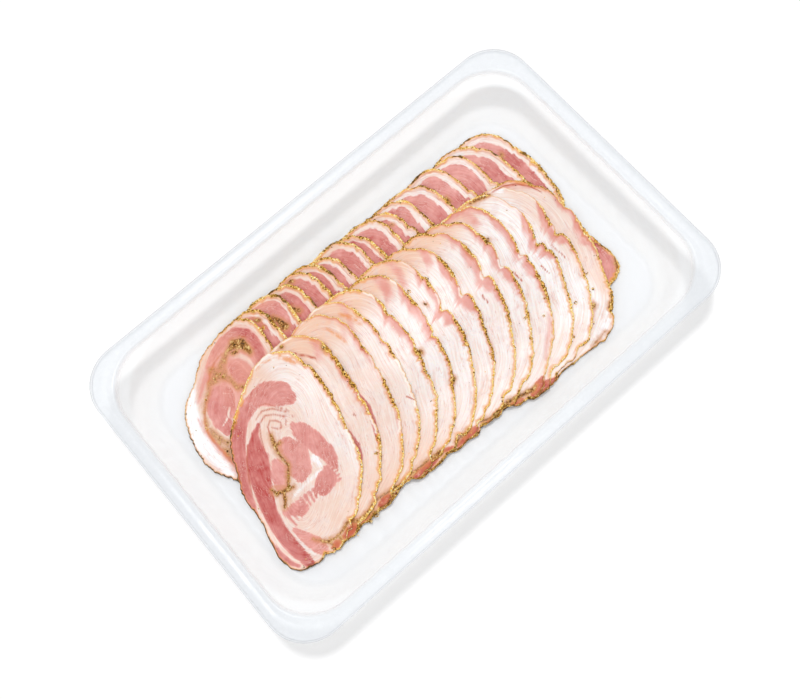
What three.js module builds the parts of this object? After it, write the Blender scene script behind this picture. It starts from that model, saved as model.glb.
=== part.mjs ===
// Spiced rolled pork belly, thinly sliced and laid in two shingled rows in its clear retail tray.
// Millimetres. The origin is under the middle of the tray, +X runs along the tray, +Z is up.
import * as THREE from 'three';

// The tray: one thin formed shell with fluted walls and a stacking ledge in each corner
const trayLength = 230;
const trayWidth = 144;
const trayHeight = 28;
const sheet = 0.9;
const rimCornerRadius = 17.5;
const rimLipDrop = 1.8;
const rimAlongEnds = 6.5;
const rimAlongSides = 6;
const mouthCornerRadius = 20.5;
const ledgeDrop = 4;
const ledgeWidth = 3.8;
const ledgeSlope = 0.6;
const ledgeInset = 1;
const footHeight = 7;
const footInset = { ends: 4.5, sides: 6 };
const footCornerRadius = 21;
const floorInset = { ends: 8.5, sides: 10 };
const floorCornerRadius = 18;
const flutesOnSide = { count: 18, pitch: 8.75 };
const flutesOnEnd = { count: 9, pitch: 8.4 };
const fluteDepth = { floor: 0.3, foot: 1.1, ledge: 0.6 };
const cornerSteps = 10;

// The slices: cut from one flattened roll, so they share an outline
const sliceThickness = 1;
const layerGap = 0.25;
const outlinePoints = 40;
const ringShares = [0.74, 0.38];
const wobbleWaves = [5, 7, 9];
const wobbleHeight = 0.45;
const jitter = { tilt: 3, length: 1.2, feature: 6 };

// Front row, from the left: where each slice's right edge crosses the row's line
const frontRow = {
  name: 'front',
  line: -12,
  rightEdges: [-43.7, -32.5, -21, -12, -2.5, 7.5, 18.5, 29, 40.3, 49.5, 60.2, 71.3, 81.2, 90.4],
  centreY: { first: -10.3, last: -17, bend: 3 },
  halfLength: { first: 36.7, last: 40 },
  halfWidth: 26.5,
  tilt: { first: 67.7, last: 69 },
  shoulder: { at: 59.5, spread: 27, first: 11.2, last: 6 },
  lobe: { at: 227, spread: 19, first: 8, last: 8.5 },
  flank: { at: 184, spread: 46, first: -2.7, last: -2.7 },
  notch: { at: 16, depth: 4, from: 0.35, to: 0.95 },
  seed: 11,
};

// Back row, from the left
const backRow = {
  name: 'back',
  line: 42,
  rightEdges: [-44.5, -38, -28.5, -20, -12, -6, 0.5, 10.5, 16.5, 26.5, 33, 41.5, 52.5, 63.3, 74.9, 84.6, 94],
  centreY: { first: 18.5, last: 17.2, bend: 1 },
  halfLength: { first: 35.3, last: 35.3 },
  halfWidth: 26,
  tilt: { first: 78, last: 80 },
  shoulder: { at: 56, spread: 19, first: 9.5, last: 4 },
  lobe: { at: 225, spread: 22, first: -4.5, last: 0 },
  flank: { at: 104, spread: 16, first: -3.5, last: 0 },
  notch: { at: 5, depth: 0, from: 1, to: 1 },
  seed: 23,
};

const clearPlastic = new THREE.MeshStandardMaterial({ color: '#e9eef4', roughness: 0.12, metalness: 0 });
const curedPork = new THREE.MeshStandardMaterial({ color: '#efc9b4', roughness: 0.35, metalness: 0 });

const radians = THREE.MathUtils.degToRad;
const mix = THREE.MathUtils.lerp;

// Numbers from 0 to 1 that are the same on every run
function seededRandom(seed) {
  let state = seed >>> 0;
  return () => {
    state = (state + 0x6d2b79f5) >>> 0;
    let bits = Math.imul(state ^ (state >>> 15), 1 | state);
    bits = (bits + Math.imul(bits ^ (bits >>> 7), 61 | bits)) ^ bits;
    return ((bits ^ (bits >>> 14)) >>> 0) / 4294967296;
  };
}

function meshOf(name, positions, triangles, material) {
  const geometry = new THREE.BufferGeometry();
  geometry.setAttribute('position', new THREE.Float32BufferAttribute(positions.flat(), 3));
  geometry.setIndex(triangles.flat());
  geometry.computeVertexNormals();
  const mesh = new THREE.Mesh(geometry, material);
  mesh.name = name;
  return mesh;
}

// Joins two rings of points; the second has as many points as the first, or half as many
function joinRings(first, second, ratio, count) {
  const triangles = [];
  for (let k = 0; k < count; k += 1) {
    const a = first + k;
    const b = first + ((k + 1) % count);
    const inner = second + Math.floor(k / ratio);
    const next = second + (Math.floor(k / ratio) + 1) % (count / ratio);
    const closing = (k + 1) % ratio === 0;
    triangles.push([a, b, closing ? next : inner]);
    if (closing) triangles.push([a, next, inner]);
  }
  return triangles;
}

function fan(ring, count, centre) {
  return Array.from({ length: count }, (_, k) => [ring + k, ring + ((k + 1) % count), centre]);
}

// One quarter of a rounded rectangle: along a side, round the corner, and along the next side
function cornerPath(share, alongSide, alongEnd, halfX, halfY, radius) {
  const sideStretch = halfX - radius - alongSide;
  const endStretch = halfY - radius - alongEnd;
  const arc = (Math.PI / 2) * radius;
  const travelled = share * (sideStretch + arc + endStretch);
  if (travelled < sideStretch) return { x: alongSide + travelled, y: -halfY, nx: 0, ny: -1 };
  if (travelled > sideStretch + arc) {
    return { x: halfX, y: -(halfY - radius - (travelled - sideStretch - arc)), nx: 1, ny: 0 };
  }
  const turn = (travelled - sideStretch) / radius;
  const nx = Math.sin(turn);
  const ny = -Math.cos(turn);
  return { x: halfX - radius + radius * nx, y: -(halfY - radius) + radius * ny, nx, ny };
}

// A ring round the tray, anticlockwise from above, starting at the left of the front side
function trayRing({ z, halfX, halfY, radius, flute = 0, crescent = 0 }) {
  const sideEnd = (flutesOnSide.count * flutesOnSide.pitch) / 2;
  const endEnd = (flutesOnEnd.count * flutesOnEnd.pitch) / 2;
  const half = [];
  for (let k = 0; k <= 2 * flutesOnSide.count; k += 1) {
    half.push([-sideEnd + (k * flutesOnSide.pitch) / 2, -halfY - (k % 2 ? flute : 0)]);
  }
  for (let k = 1; k < cornerSteps; k += 1) {
    const share = k / cornerSteps;
    const { x, y, nx, ny } = cornerPath(share, sideEnd, endEnd, halfX, halfY, radius);
    const inward = crescent * Math.sin(Math.PI * share);
    half.push([x - nx * inward, y - ny * inward]);
  }
  for (let k = 0; k <= 2 * flutesOnEnd.count; k += 1) {
    half.push([halfX + (k % 2 ? flute : 0), -endEnd + (k * flutesOnEnd.pitch) / 2]);
  }
  for (let k = cornerSteps - 1; k > 0; k -= 1) {
    const share = k / cornerSteps;
    const { x, y, nx, ny } = cornerPath(share, sideEnd, endEnd, halfX, halfY, radius);
    const inward = crescent * Math.sin(Math.PI * share);
    half.push([x - nx * inward, -(y - ny * inward)]);
  }
  return [...half.map(([x, y]) => [x, y, z]), ...half.map(([x, y]) => [-x, -y, z])];
}

function makeTray() {
  const halfX = trayLength / 2;
  const halfY = trayWidth / 2;
  const mouthX = halfX - rimAlongEnds;
  const mouthY = halfY - rimAlongSides;
  const ledgeTop = trayHeight - ledgeDrop;
  const inset = ({ ends, sides }) => ({ halfX: mouthX - ends, halfY: mouthY - sides });
  const atLedge = {
    ...inset({ ends: ledgeInset, sides: ledgeInset }),
    radius: mouthCornerRadius,
    flute: fluteDepth.ledge,
  };

  // The profile from the middle of the floor up to the mouth, as the food meets it
  const inside = [
    { z: sheet, ...inset(floorInset), radius: floorCornerRadius, flute: fluteDepth.floor },
    { z: footHeight, ...inset(footInset), radius: footCornerRadius, flute: fluteDepth.foot },
    { z: ledgeTop - ledgeSlope, ...atLedge, crescent: ledgeWidth },
    { z: ledgeTop, ...atLedge },
    { z: trayHeight, halfX: mouthX, halfY: mouthY, radius: mouthCornerRadius },
  ];
  const rimOut = { halfX, halfY, radius: rimCornerRadius };
  const rimIn = { halfX: halfX - sheet, halfY: halfY - sheet, radius: rimCornerRadius - sheet };
  const rim = [
    { z: trayHeight, ...rimOut },
    { z: trayHeight - rimLipDrop, ...rimOut },
    { z: trayHeight - rimLipDrop, ...rimIn },
    { z: trayHeight - sheet, ...rimIn },
  ];
  // The same profile one sheet further out, back down to the underside
  const outside = inside.toReversed().map((ring, k) => ({
    ...ring,
    z: k === inside.length - 1 ? 0 : ring.z - sheet,
    halfX: ring.halfX + sheet,
    halfY: ring.halfY + sheet,
    radius: ring.radius + sheet,
  }));

  const rings = [...inside, ...rim, ...outside].map(trayRing);
  const count = rings[0].length;
  const positions = rings.flat();
  const triangles = [];
  for (let k = 0; k + 1 < rings.length; k += 1) {
    triangles.push(...joinRings(k * count, (k + 1) * count, 1, count).map(([a, b, c]) => [b, a, c]));
  }
  const floorCentre = positions.length;
  positions.push([0, 0, sheet], [0, 0, 0]);
  triangles.push(...fan(0, count, floorCentre));
  triangles.push(...fan((rings.length - 1) * count, count, floorCentre + 1).map(([a, b, c]) => [b, a, c]));
  const mesh = meshOf('tray', positions, triangles, clearPlastic);
  const floorRings = positions.slice(0, 2 * count);
  return { mesh, floor: { positions: [...floorRings, positions[floorCentre]], count } };
}

// How high things stand in the tray so far, on a fine square grid
const cell = 0.5;
const edgeSlack = 0.02;
const gridX = 216;
const gridY = 136;
const columns = Math.round(gridX / cell);
const rows = Math.round(gridY / cell);
const heights = new Float64Array(columns * rows);

// The grid points under a triangle, with the share of each corner
function samplesUnder(positions, [a, b, c]) {
  const [ax, ay] = positions[a];
  const [bx, by] = positions[b];
  const [cx, cy] = positions[c];
  const area = (bx - ax) * (cy - ay) - (cx - ax) * (by - ay);
  const samples = [];
  const column = (x) => (x + gridX / 2) / cell;
  const row = (y) => (y + gridY / 2) / cell;
  const clamp = (value, top) => Math.min(Math.max(value, 0), top);
  const firstColumn = clamp(Math.floor(column(Math.min(ax, bx, cx))), columns - 1);
  const lastColumn = clamp(Math.ceil(column(Math.max(ax, bx, cx))), columns - 1);
  const firstRow = clamp(Math.floor(row(Math.min(ay, by, cy))), rows - 1);
  const lastRow = clamp(Math.ceil(row(Math.max(ay, by, cy))), rows - 1);
  for (let j = firstRow; j <= lastRow; j += 1) {
    for (let i = firstColumn; i <= lastColumn; i += 1) {
      const x = i * cell - gridX / 2;
      const y = j * cell - gridY / 2;
      const shareB = ((x - ax) * (cy - ay) - (cx - ax) * (y - ay)) / area;
      const shareC = ((bx - ax) * (y - ay) - (x - ax) * (by - ay)) / area;
      const shareA = 1 - shareB - shareC;
      if (Math.min(shareA, shareB, shareC) >= -edgeSlack) {
        samples.push({ at: j * columns + i, corners: [a, b, c], shares: [shareA, shareB, shareC] });
      }
    }
  }
  return samples;
}

function heightOf({ corners, shares }, z) {
  return shares[0] * z[corners[0]] + shares[1] * z[corners[1]] + shares[2] * z[corners[2]];
}

// Raises the grid to a surface, and one cell beyond its edge
function raiseHeights(samples, z) {
  const covered = new Set(samples.map((sample) => sample.at));
  const around = [-1, 0, 1].flatMap((dj) => [-1, 0, 1].map((di) => dj * columns + di));
  for (const sample of samples) {
    const top = heightOf(sample, z);
    heights[sample.at] = Math.max(heights[sample.at], top);
    for (const at of around.map((step) => sample.at + step)) {
      if (!covered.has(at)) heights[at] = Math.max(heights[at], top);
    }
  }
}

// A soft slice sinks until it rests everywhere a little above what lies below it
const sinkRounds = 90;
const sinkStep = 0.25;
const stiffness = 0.3;
const edgeStiffness = 0.06;
const liftRounds = 25;
function settle(count, rim, neighbours, samples) {
  const z = new Array(count).fill(0);
  const lift = () => {
    for (const { at, corners, shares } of samples) {
      const short = heights[at] + layerGap - heightOf({ corners, shares }, z);
      if (short <= 0) continue;
      const weight = shares[0] ** 2 + shares[1] ** 2 + shares[2] ** 2;
      corners.forEach((corner, k) => { z[corner] += (short * shares[k]) / weight; });
    }
  };
  lift();
  for (let round = 0; round < sinkRounds; round += 1) {
    const before = z.slice();
    for (let v = 0; v < count; v += 1) {
      const mean = neighbours[v].reduce((sum, other) => sum + before[other], 0) / neighbours[v].length;
      const pull = v < rim ? edgeStiffness : stiffness;
      z[v] = mix(before[v], mean, pull) - sinkStep;
    }
    lift();
  }
  for (let round = 0; round < liftRounds; round += 1) lift();
  return z;
}

// The outline's distance from the slice's middle, in the direction of an angle
function outlineRadius(angle, shape) {
  const along = angle - radians(shape.tilt);
  let radius = (shape.halfLength * shape.halfWidth)
    / Math.hypot(shape.halfWidth * Math.cos(along), shape.halfLength * Math.sin(along));
  for (const { at, height, spread } of shape.features) {
    const away = THREE.MathUtils.euclideanModulo(THREE.MathUtils.radToDeg(angle) - at + 180, 360) - 180;
    radius += height * Math.exp(-((away / spread) ** 2));
  }
  for (const { waves, height, phase } of shape.wobbles) radius += height * Math.sin(waves * angle + phase);
  return radius;
}

function sliceShape(row, share, random) {
  const along = ({ first, last }) => mix(first, last, share);
  const { from, to, depth } = row.notch;
  const notchDepth = share < to ? depth * THREE.MathUtils.smoothstep(share, from, (from + to) / 2) : 0;
  return {
    tilt: along(row.tilt) + jitter.tilt * (random() - 0.5),
    halfLength: along(row.halfLength) + jitter.length * (random() - 0.5),
    halfWidth: row.halfWidth,
    features: [row.shoulder, row.lobe, row.flank].map((feature) => ({
      at: feature.at + jitter.feature * (random() - 0.5),
      spread: feature.spread,
      height: along(feature),
    })),
    wobbles: wobbleWaves.map((waves) => ({
      waves,
      height: wobbleHeight * random(),
      phase: 2 * Math.PI * random(),
    })),
    notchAt: radians(row.notch.at),
    notchDepth,
  };
}

function sliceOutline(shape) {
  return Array.from({ length: outlinePoints }, (_, k) => {
    const angle = shape.notchAt + (2 * Math.PI * k) / outlinePoints;
    const radius = outlineRadius(angle, shape) - (k === 0 ? shape.notchDepth : 0);
    return [radius * Math.cos(angle), radius * Math.sin(angle)];
  });
}

// The furthest right that an outline reaches on the level line y
function rightEdgeAt(outline, y) {
  let furthest = -Infinity;
  outline.forEach(([x, pointY], k) => {
    const [nextX, nextY] = outline[(k + 1) % outline.length];
    if ((pointY - y) * (nextY - y) > 0) return;
    furthest = Math.max(furthest, mix(x, nextX, (y - pointY) / (nextY - pointY)));
  });
  return furthest;
}

// Face points of a slice: the outline, two rings inside it and the middle
function faceOf(outline) {
  const face = [...outline];
  ringShares.forEach((share, ring) => {
    const step = 2 ** (ring + 1);
    for (let k = 0; k < outline.length; k += step) face.push([outline[k][0] * share, outline[k][1] * share]);
  });
  face.push([0, 0]);
  const half = outlinePoints / 2;
  const triangles = [
    ...joinRings(0, outlinePoints, 2, outlinePoints),
    ...joinRings(outlinePoints, outlinePoints + half, 2, half),
    ...fan(outlinePoints + half, half / 2, face.length - 1),
  ];
  return { face, triangles };
}

function neighboursOf(count, triangles) {
  const neighbours = Array.from({ length: count }, () => new Set());
  for (const triangle of triangles) {
    triangle.forEach((corner, k) => {
      neighbours[corner].add(triangle[(k + 1) % 3]);
      neighbours[corner].add(triangle[(k + 2) % 3]);
    });
  }
  return neighbours.map((set) => [...set]);
}

// Lays one slice on what is already in the tray
function laySlice(name, shape, rightEdge, line, centreY) {
  const outline = sliceOutline(shape);
  const centreX = rightEdge - rightEdgeAt(outline, line - centreY);
  const { face, triangles } = faceOf(outline);
  const placed = face.map(([x, y]) => [x + centreX, y + centreY]);
  const samples = triangles.flatMap((triangle) => samplesUnder(placed, triangle));
  const under = settle(face.length, outlinePoints, neighboursOf(face.length, triangles), samples);
  const over = under.map((z) => z + sliceThickness);
  raiseHeights(samples, over);

  const count = face.length;
  const positions = [
    ...face.map(([x, y], k) => [x, y, over[k]]),
    ...face.map(([x, y], k) => [x, y, under[k]]),
  ];
  const underside = triangles.map(([a, b, c]) => [b + count, a + count, c + count]);
  const side = [];
  for (let k = 0; k < outlinePoints; k += 1) {
    const next = (k + 1) % outlinePoints;
    side.push([k, k + count, next], [next, k + count, next + count]);
  }
  const mesh = meshOf(name, positions, [...triangles, ...underside, ...side], curedPork);
  mesh.position.set(centreX, centreY, 0);
  return mesh;
}

// A shingled row is laid from the right, so each slice lies on its right-hand neighbour
function layRow(row) {
  const group = new THREE.Group();
  const random = seededRandom(row.seed);
  const last = row.rightEdges.length - 1;
  for (let k = last; k >= 0; k -= 1) {
    const share = last > 0 ? k / last : 0;
    const shape = sliceShape(row, share, random);
    const centreY = mix(row.centreY.first, row.centreY.last, share ** row.centreY.bend);
    const name = `${row.name}_slice_${String(k + 1).padStart(2, '0')}`;
    group.add(laySlice(name, shape, row.rightEdges[k], row.line, centreY));
  }
  return group;
}

// One more slice lies folded under the front row's right end, and only its corner shows
const tuckedSlice = {
  ...frontRow,
  name: 'tucked',
  rightEdges: [91],
  centreY: { first: -14, last: -14, bend: 1 },
  halfLength: { first: 28, last: 28 },
  halfWidth: 26,
  tilt: { first: 90, last: 90 },
  shoulder: { at: 60, spread: 27, first: 0, last: 0 },
  lobe: { at: 317, spread: 18, first: 6, last: 6 },
  notch: { at: 15, depth: 0, from: 1, to: 1 },
  seed: 5,
};

const pack = new THREE.Group();
const tray = makeTray();
pack.add(tray.mesh);

const floorTriangles = [
  ...fan(0, tray.floor.count, 2 * tray.floor.count),
  ...joinRings(0, tray.floor.count, 1, tray.floor.count),
];
const floorSamples = floorTriangles.flatMap((triangle) => samplesUnder(tray.floor.positions, triangle));
raiseHeights(floorSamples, tray.floor.positions.map((point) => point[2]));

// The back row goes in first; the front row's upper ends lie on it
pack.add(layRow(backRow));
pack.add(layRow(tuckedSlice));
pack.add(layRow(frontRow));

export default pack;
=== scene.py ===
# %% [markdown]
# # Spiced rolled pork belly in its tray
# A boned pork belly is spread with herbs and pepper, rolled, cured and cut into slices a millimetre thick.
# The slices lie in two shingled rows in a clear formed tray. The solid model gives each slice its outline
# and its place in the heap. This lesson gives the slices their draped surface, marbling and crumbly rim.

import math

import bpy
import numpy as np
from mathutils import Matrix, Vector


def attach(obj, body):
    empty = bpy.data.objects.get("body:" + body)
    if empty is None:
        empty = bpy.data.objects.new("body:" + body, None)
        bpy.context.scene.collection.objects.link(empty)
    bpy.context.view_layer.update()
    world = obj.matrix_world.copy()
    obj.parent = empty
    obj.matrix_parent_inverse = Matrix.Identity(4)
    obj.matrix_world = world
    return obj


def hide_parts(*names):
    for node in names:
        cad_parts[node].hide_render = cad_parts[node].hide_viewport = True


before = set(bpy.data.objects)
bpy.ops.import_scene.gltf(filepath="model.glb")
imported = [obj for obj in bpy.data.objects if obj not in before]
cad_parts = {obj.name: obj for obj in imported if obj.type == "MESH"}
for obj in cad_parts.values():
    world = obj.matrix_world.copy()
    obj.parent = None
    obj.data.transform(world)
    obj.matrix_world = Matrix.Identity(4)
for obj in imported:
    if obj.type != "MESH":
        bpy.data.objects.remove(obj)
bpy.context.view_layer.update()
MM = 0.001

# %% [markdown]
# ## The camera
# The pack is seen from almost straight above, turned so that its long side climbs to the right. A lens of
# 42 mm at 37 cm gives the slight convergence of the tray's sides. The camera's three axes are worked out
# from its bearing, its height and its roll, because a look-at rule alone leaves the roll open.

# %% Camera
lens = 41.85
sensor_width = 36
bearing, elevation, roll = (math.radians(a) for a in (-31.156, 75.809, -10.170))
distance = 370.71 * MM
aim = Vector((-8.539, -6.524, 28.0)) * MM

back = Vector((
    math.sin(bearing) * math.cos(elevation),
    -math.cos(bearing) * math.cos(elevation),
    math.sin(elevation),
))
level_right = (-back).cross(Vector((0, 0, 1))).normalized()
level_up = level_right.cross(-back)
right = math.cos(roll) * level_right + math.sin(roll) * level_up
up = math.cos(roll) * level_up - math.sin(roll) * level_right
eye = aim + distance * back
eye_mm = np.array(eye) / MM

camera_data = bpy.data.cameras.new("camera")
camera_data.lens = lens
camera_data.sensor_width = sensor_width
camera_data.sensor_fit = "HORIZONTAL"
camera = bpy.data.objects.new("camera", camera_data)
bpy.context.scene.collection.objects.link(camera)
camera.matrix_world = Matrix.Translation(eye) @ Matrix((right, up, back)).transposed().to_4x4()
bpy.context.scene.camera = camera
print("camera at", eye_mm.round(1))

# %% [markdown]
# ## Light and floor
# The pack lies on a white table under one small light almost overhead, a little towards its far corner, so
# the rim throws a narrow soft shadow past the near sides. A wide weak light from the near left and a
# bright, even sky fill the shade, as white walls do in a studio.

# %% Lights and floor
scene = bpy.context.scene
scene.view_settings.view_transform = "Standard"
sky_strength = 0.62
floor_size = 6
floor_level = -0.2 * MM

sky = bpy.data.worlds.new("studio")
sky.use_nodes = True
sky.node_tree.nodes["Background"].inputs["Color"].default_value = (1.0, 1.0, 1.0, 1.0)
sky.node_tree.nodes["Background"].inputs["Strength"].default_value = sky_strength
scene.world = sky


def soft_box(name, place, size, power):
    """A round soft light that faces the pack."""
    data = bpy.data.lights.new(name, "AREA")
    data.shape = "DISK"
    data.size = size
    data.energy = power
    lamp = bpy.data.objects.new(name, data)
    lamp.location = place
    lamp.rotation_euler = (aim - Vector(place)).to_track_quat("-Z", "Y").to_euler()
    scene.collection.objects.link(lamp)
    return lamp


key_light = soft_box("key_light", (0.07, 0.16, 1.15), size=0.15, power=5.4)
fill_light = soft_box("fill_light", (-0.75, -0.45, 1.1), size=0.9, power=2.2)

bpy.ops.mesh.primitive_plane_add(size=floor_size, location=(0, 0, floor_level))
floor = bpy.context.object
floor.name = "floor"
print("lights:", key_light.name, fill_light.name)

# %% [markdown]
# ## A short way to write shader maths
# A pattern is easier to read as a sum than as a web of wires. `Wire` stands for one output of a node, and
# its operators add Math nodes, also with a plain number on the left. `Graph` adds any other node by one
# method, to a material or to a Geometry Nodes tree.

# %% Sums and products of node outputs


class Wire:
    """One output of a node. Sums and products of wires add Math nodes."""

    def __init__(self, graph, socket):
        self.graph = graph
        self.socket = socket

    def math(self, operation, first, second=0.0, clamp=False):
        settings = {"operation": operation, "use_clamp": clamp}
        return self.graph.node("ShaderNodeMath", settings, {0: first, 1: second})

    def __add__(self, other):
        return self.math("ADD", self, other)

    def __sub__(self, other):
        return self.math("SUBTRACT", self, other)

    def __rsub__(self, other):
        return self.math("SUBTRACT", other, self)

    def __mul__(self, other):
        return self.math("MULTIPLY", self, other)

    def __abs__(self):
        return self.math("ABSOLUTE", self)

    __radd__, __rmul__ = __add__, __mul__

    def clamped(self):
        return self.math("ADD", self, 0.0, clamp=True)

    def larger(self, other):
        return self.math("MAXIMUM", self, other)

    def rise(self, low, high):
        """0 below low, 1 above high, and a smooth slope between; low above high makes it fall."""
        settings = {"interpolation_type": "SMOOTHSTEP"}
        ends = {"Value": self, "From Min": min(low, high), "From Max": max(low, high)}
        values = {"To Min": 0.0 if low < high else 1.0, "To Max": 1.0 if low < high else 0.0}
        return self.graph.node("ShaderNodeMapRange", settings, {**ends, **values})


print("a wire knows", sorted(name for name in vars(Wire) if not name.startswith("__")))

# %% Node trees as Python calls


def paint(code):
    """A colour as painters write it, such as f4e0d2, as the linear colour that shaders take."""
    channels = [int(code[k : k + 2], 16) / 255 for k in (0, 2, 4)]
    linear = [c / 12.92 if c <= 0.04045 else ((c + 0.055) / 1.055) ** 2.4 for c in channels]
    return (*linear, 1.0)


class Graph:
    """A node tree that is written as Python calls."""

    def __init__(self, tree):
        self.tree = tree
        self.tree.nodes.clear()

    def node(self, kind, settings=None, inputs=None, output=0):
        made = self.tree.nodes.new(kind)
        for key, value in (settings or {}).items():
            if key == "stops":
                self.set_stops(made.color_ramp, value)
            else:
                setattr(made, key, value)
        for key, value in (inputs or {}).items():
            if isinstance(value, Wire):
                self.tree.links.new(value.socket, made.inputs[key])
            else:
                made.inputs[key].default_value = value
        return Wire(self, made.outputs[output]) if made.outputs else None

    def set_stops(self, ramp, stops):
        while len(ramp.elements) < len(stops):
            ramp.elements.new(1.0)
        for element, (place, colour) in zip(ramp.elements, stops):
            element.position = place
            element.color = paint(colour)

    def noise(self, place, scale, detail=2.0, roughness=0.5, output=0):
        inputs = {"Vector": place, "Scale": scale, "Detail": detail, "Roughness": roughness}
        return self.node("ShaderNodeTexNoise", None, inputs, output)

    def scaled(self, vector, factors):
        return self.node("ShaderNodeVectorMath", {"operation": "MULTIPLY"}, {0: vector, 1: factors})


print("f4e0d2 as light:", [round(c, 3) for c in paint("f4e0d2")])

# %% [markdown]
# ## Finishes
# `Finish` is one material with the few calls that the materials here share: a place on the object, a number
# that is kept on its points, a ramp of tones, a mix of two colours and a bump. The table is the first one.
# It is almost white, with a slow change of tone over its top.

# %% Finishes, and the white table


class Finish(Graph):
    """One material. Its patterns read the object's own coordinates."""

    def __init__(self, name):
        self.material = bpy.data.materials.new(name)
        self.material.use_nodes = True
        super().__init__(self.material.node_tree)
        self.place = self.node("ShaderNodeTexCoord", output=3)

    def attribute(self, name, vector=False):
        return self.node("ShaderNodeAttribute", {"attribute_name": name}, output=1 if vector else 2)

    def ramp(self, share, stops):
        return self.node("ShaderNodeValToRGB", {"stops": stops}, {"Fac": share})

    def mixed(self, share, first, second):
        colours = [paint(c) if isinstance(c, str) else c for c in (first, second)]
        settings = {"data_type": "RGBA"}
        return self.node("ShaderNodeMix", settings, {0: share, 6: colours[0], 7: colours[1]}, 2)

    def bump(self, height, depth_mm, strength=1.0):
        inputs = {"Height": height, "Distance": depth_mm * MM, "Strength": strength}
        return self.node("ShaderNodeBump", None, inputs)

    def surface(self, **sockets):
        """Ends the material in one Principled shader. A socket's name has _ for a space."""
        named = {key.replace("_", " "): value for key, value in sockets.items()}
        shader = self.node("ShaderNodeBsdfPrincipled", None, named)
        self.node("ShaderNodeOutputMaterial", None, {"Surface": shader})
        return self.material


table = Finish("white_table")
floor.data.materials.append(table.surface(
    Base_Color=table.mixed(table.noise(table.place, 3.0), "fafafa", "fdfdfd"),
    Roughness=0.9,
    Specular_IOR_Level=0.1,
))
print("table finish has", len(table.tree.nodes), "nodes")

# %% [markdown]
# ## The tray
# The tray is one sheet of clear plastic, drawn hot into a mould. Its walls are fluted for stiffness, and a
# crescent ledge in each corner lets empty trays stack. It is made as one surface, a stack of rings round
# the tray, each a rounded rectangle with its own size. Solidify then gives the sheet its thickness.

# %% Tray sizes, as in the solid model
half_length, half_width = 115.0, 72.0
tray_height = 28.0
sheet = 0.9
mouth = (108.5, 66.0)
side_flutes, end_flutes = (18, 8.75), (9, 8.4)
flute_steps = 10
corner_steps = 26


def ring_path():
    """Half of the way round the tray: the corner share, the place along a straight, and the flute wave."""
    path = []
    side_end = side_flutes[0] * side_flutes[1] / 2
    end_end = end_flutes[0] * end_flutes[1] / 2
    for k in range(side_flutes[0] * flute_steps + 1):
        path.append(("side", k / flute_steps * side_flutes[1] - side_end, k / flute_steps))
    for k in range(1, corner_steps):
        path.append(("near corner", k / corner_steps, 0.0))
    for k in range(end_flutes[0] * flute_steps + 1):
        path.append(("end", k / flute_steps * end_flutes[1] - end_end, k / flute_steps))
    for k in range(corner_steps - 1, 0, -1):
        path.append(("far corner", k / corner_steps, 0.0))
    return path, side_end, end_end


print("points in a ring:", 2 * len(ring_path()[0]))

# %% One ring round the tray


def corner_point(share, side_end, end_end, half_x, half_y, radius):
    """A point on the stretch from the last side flute round the corner to the first end flute."""
    side_run, end_run = half_x - radius - side_end, half_y - radius - end_end
    arc = math.pi / 2 * radius
    travelled = share * (side_run + arc + end_run)
    if travelled < side_run:
        return side_end + travelled, -half_y, 0.0, -1.0
    if travelled > side_run + arc:
        return half_x, -(half_y - radius - (travelled - side_run - arc)), 1.0, 0.0
    turn = (travelled - side_run) / radius
    nx, ny = math.sin(turn), -math.cos(turn)
    return half_x - radius + radius * nx, -(half_y - radius) + radius * ny, nx, ny


def tray_ring(z, half_x, half_y, radius, flute, crescent, rib):
    """Points round the tray at one level, with its flutes, its corner ledges and the floor's ribs."""
    path, side_end, end_end = ring_path()
    points = []
    for stretch, along, wave in path:
        swell = math.sin(math.pi * wave) ** 2
        level = z + rib * swell
        if stretch == "side":
            points.append((along, -half_y - flute * swell, level))
        elif stretch == "end":
            points.append((half_x + flute * swell, along, level))
        else:
            x, y, nx, ny = corner_point(along, side_end, end_end, half_x, half_y, radius)
            inward = crescent * math.sin(math.pi * along)
            x, y = x - nx * inward, y - ny * inward
            points.append((x, y if stretch == "near corner" else -y, z))
    return points + [(-x, -y, level) for x, y, level in points]


outermost = tray_ring(tray_height, half_length, half_width, 17.5, 0.0, 0.0, 0.0)
print("the rim's ring reaches", max(p[0] for p in outermost), "by", max(p[1] for p in outermost), "mm")

# %% Tray profile, from the middle of the floor to the turned-down lip
# Each row: level, half length, half width, corner radius, flute, corner crescent, floor rib
profile_keys = [
    (sheet, 84.0, 40.0, 14.0, 0.0, 0.0, 0.0),
    (sheet, 92.0, 48.0, 16.0, 0.0, 0.0, 0.35),
    (sheet, 98.5, 54.5, 18.0, 0.1, 0.0, 0.25),
    (sheet, 100.0, 56.0, 18.0, 0.3, 0.0, 0.0),
    (7.0, 104.0, 60.0, 21.0, 1.1, 0.0, 0.0),
    (23.4, 107.5, 65.0, 20.5, 0.6, 3.8, 0.0),
    (24.0, 107.5, 65.0, 20.5, 0.6, 0.0, 0.0),
    (tray_height, *mouth, 20.5, 0.0, 0.0, 0.0),
    (27.6, 110.2, 67.7, 19.5, 0.0, 0.0, 0.0),
    (tray_height, 111.6, 69.0, 18.8, 0.0, 0.0, 0.0),
    (tray_height, half_length, half_width, 17.5, 0.0, 0.0, 0.0),
    (26.2, half_length, half_width, 17.5, 0.0, 0.0, 0.0),
]
ring_spacing = 0.8


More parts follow.
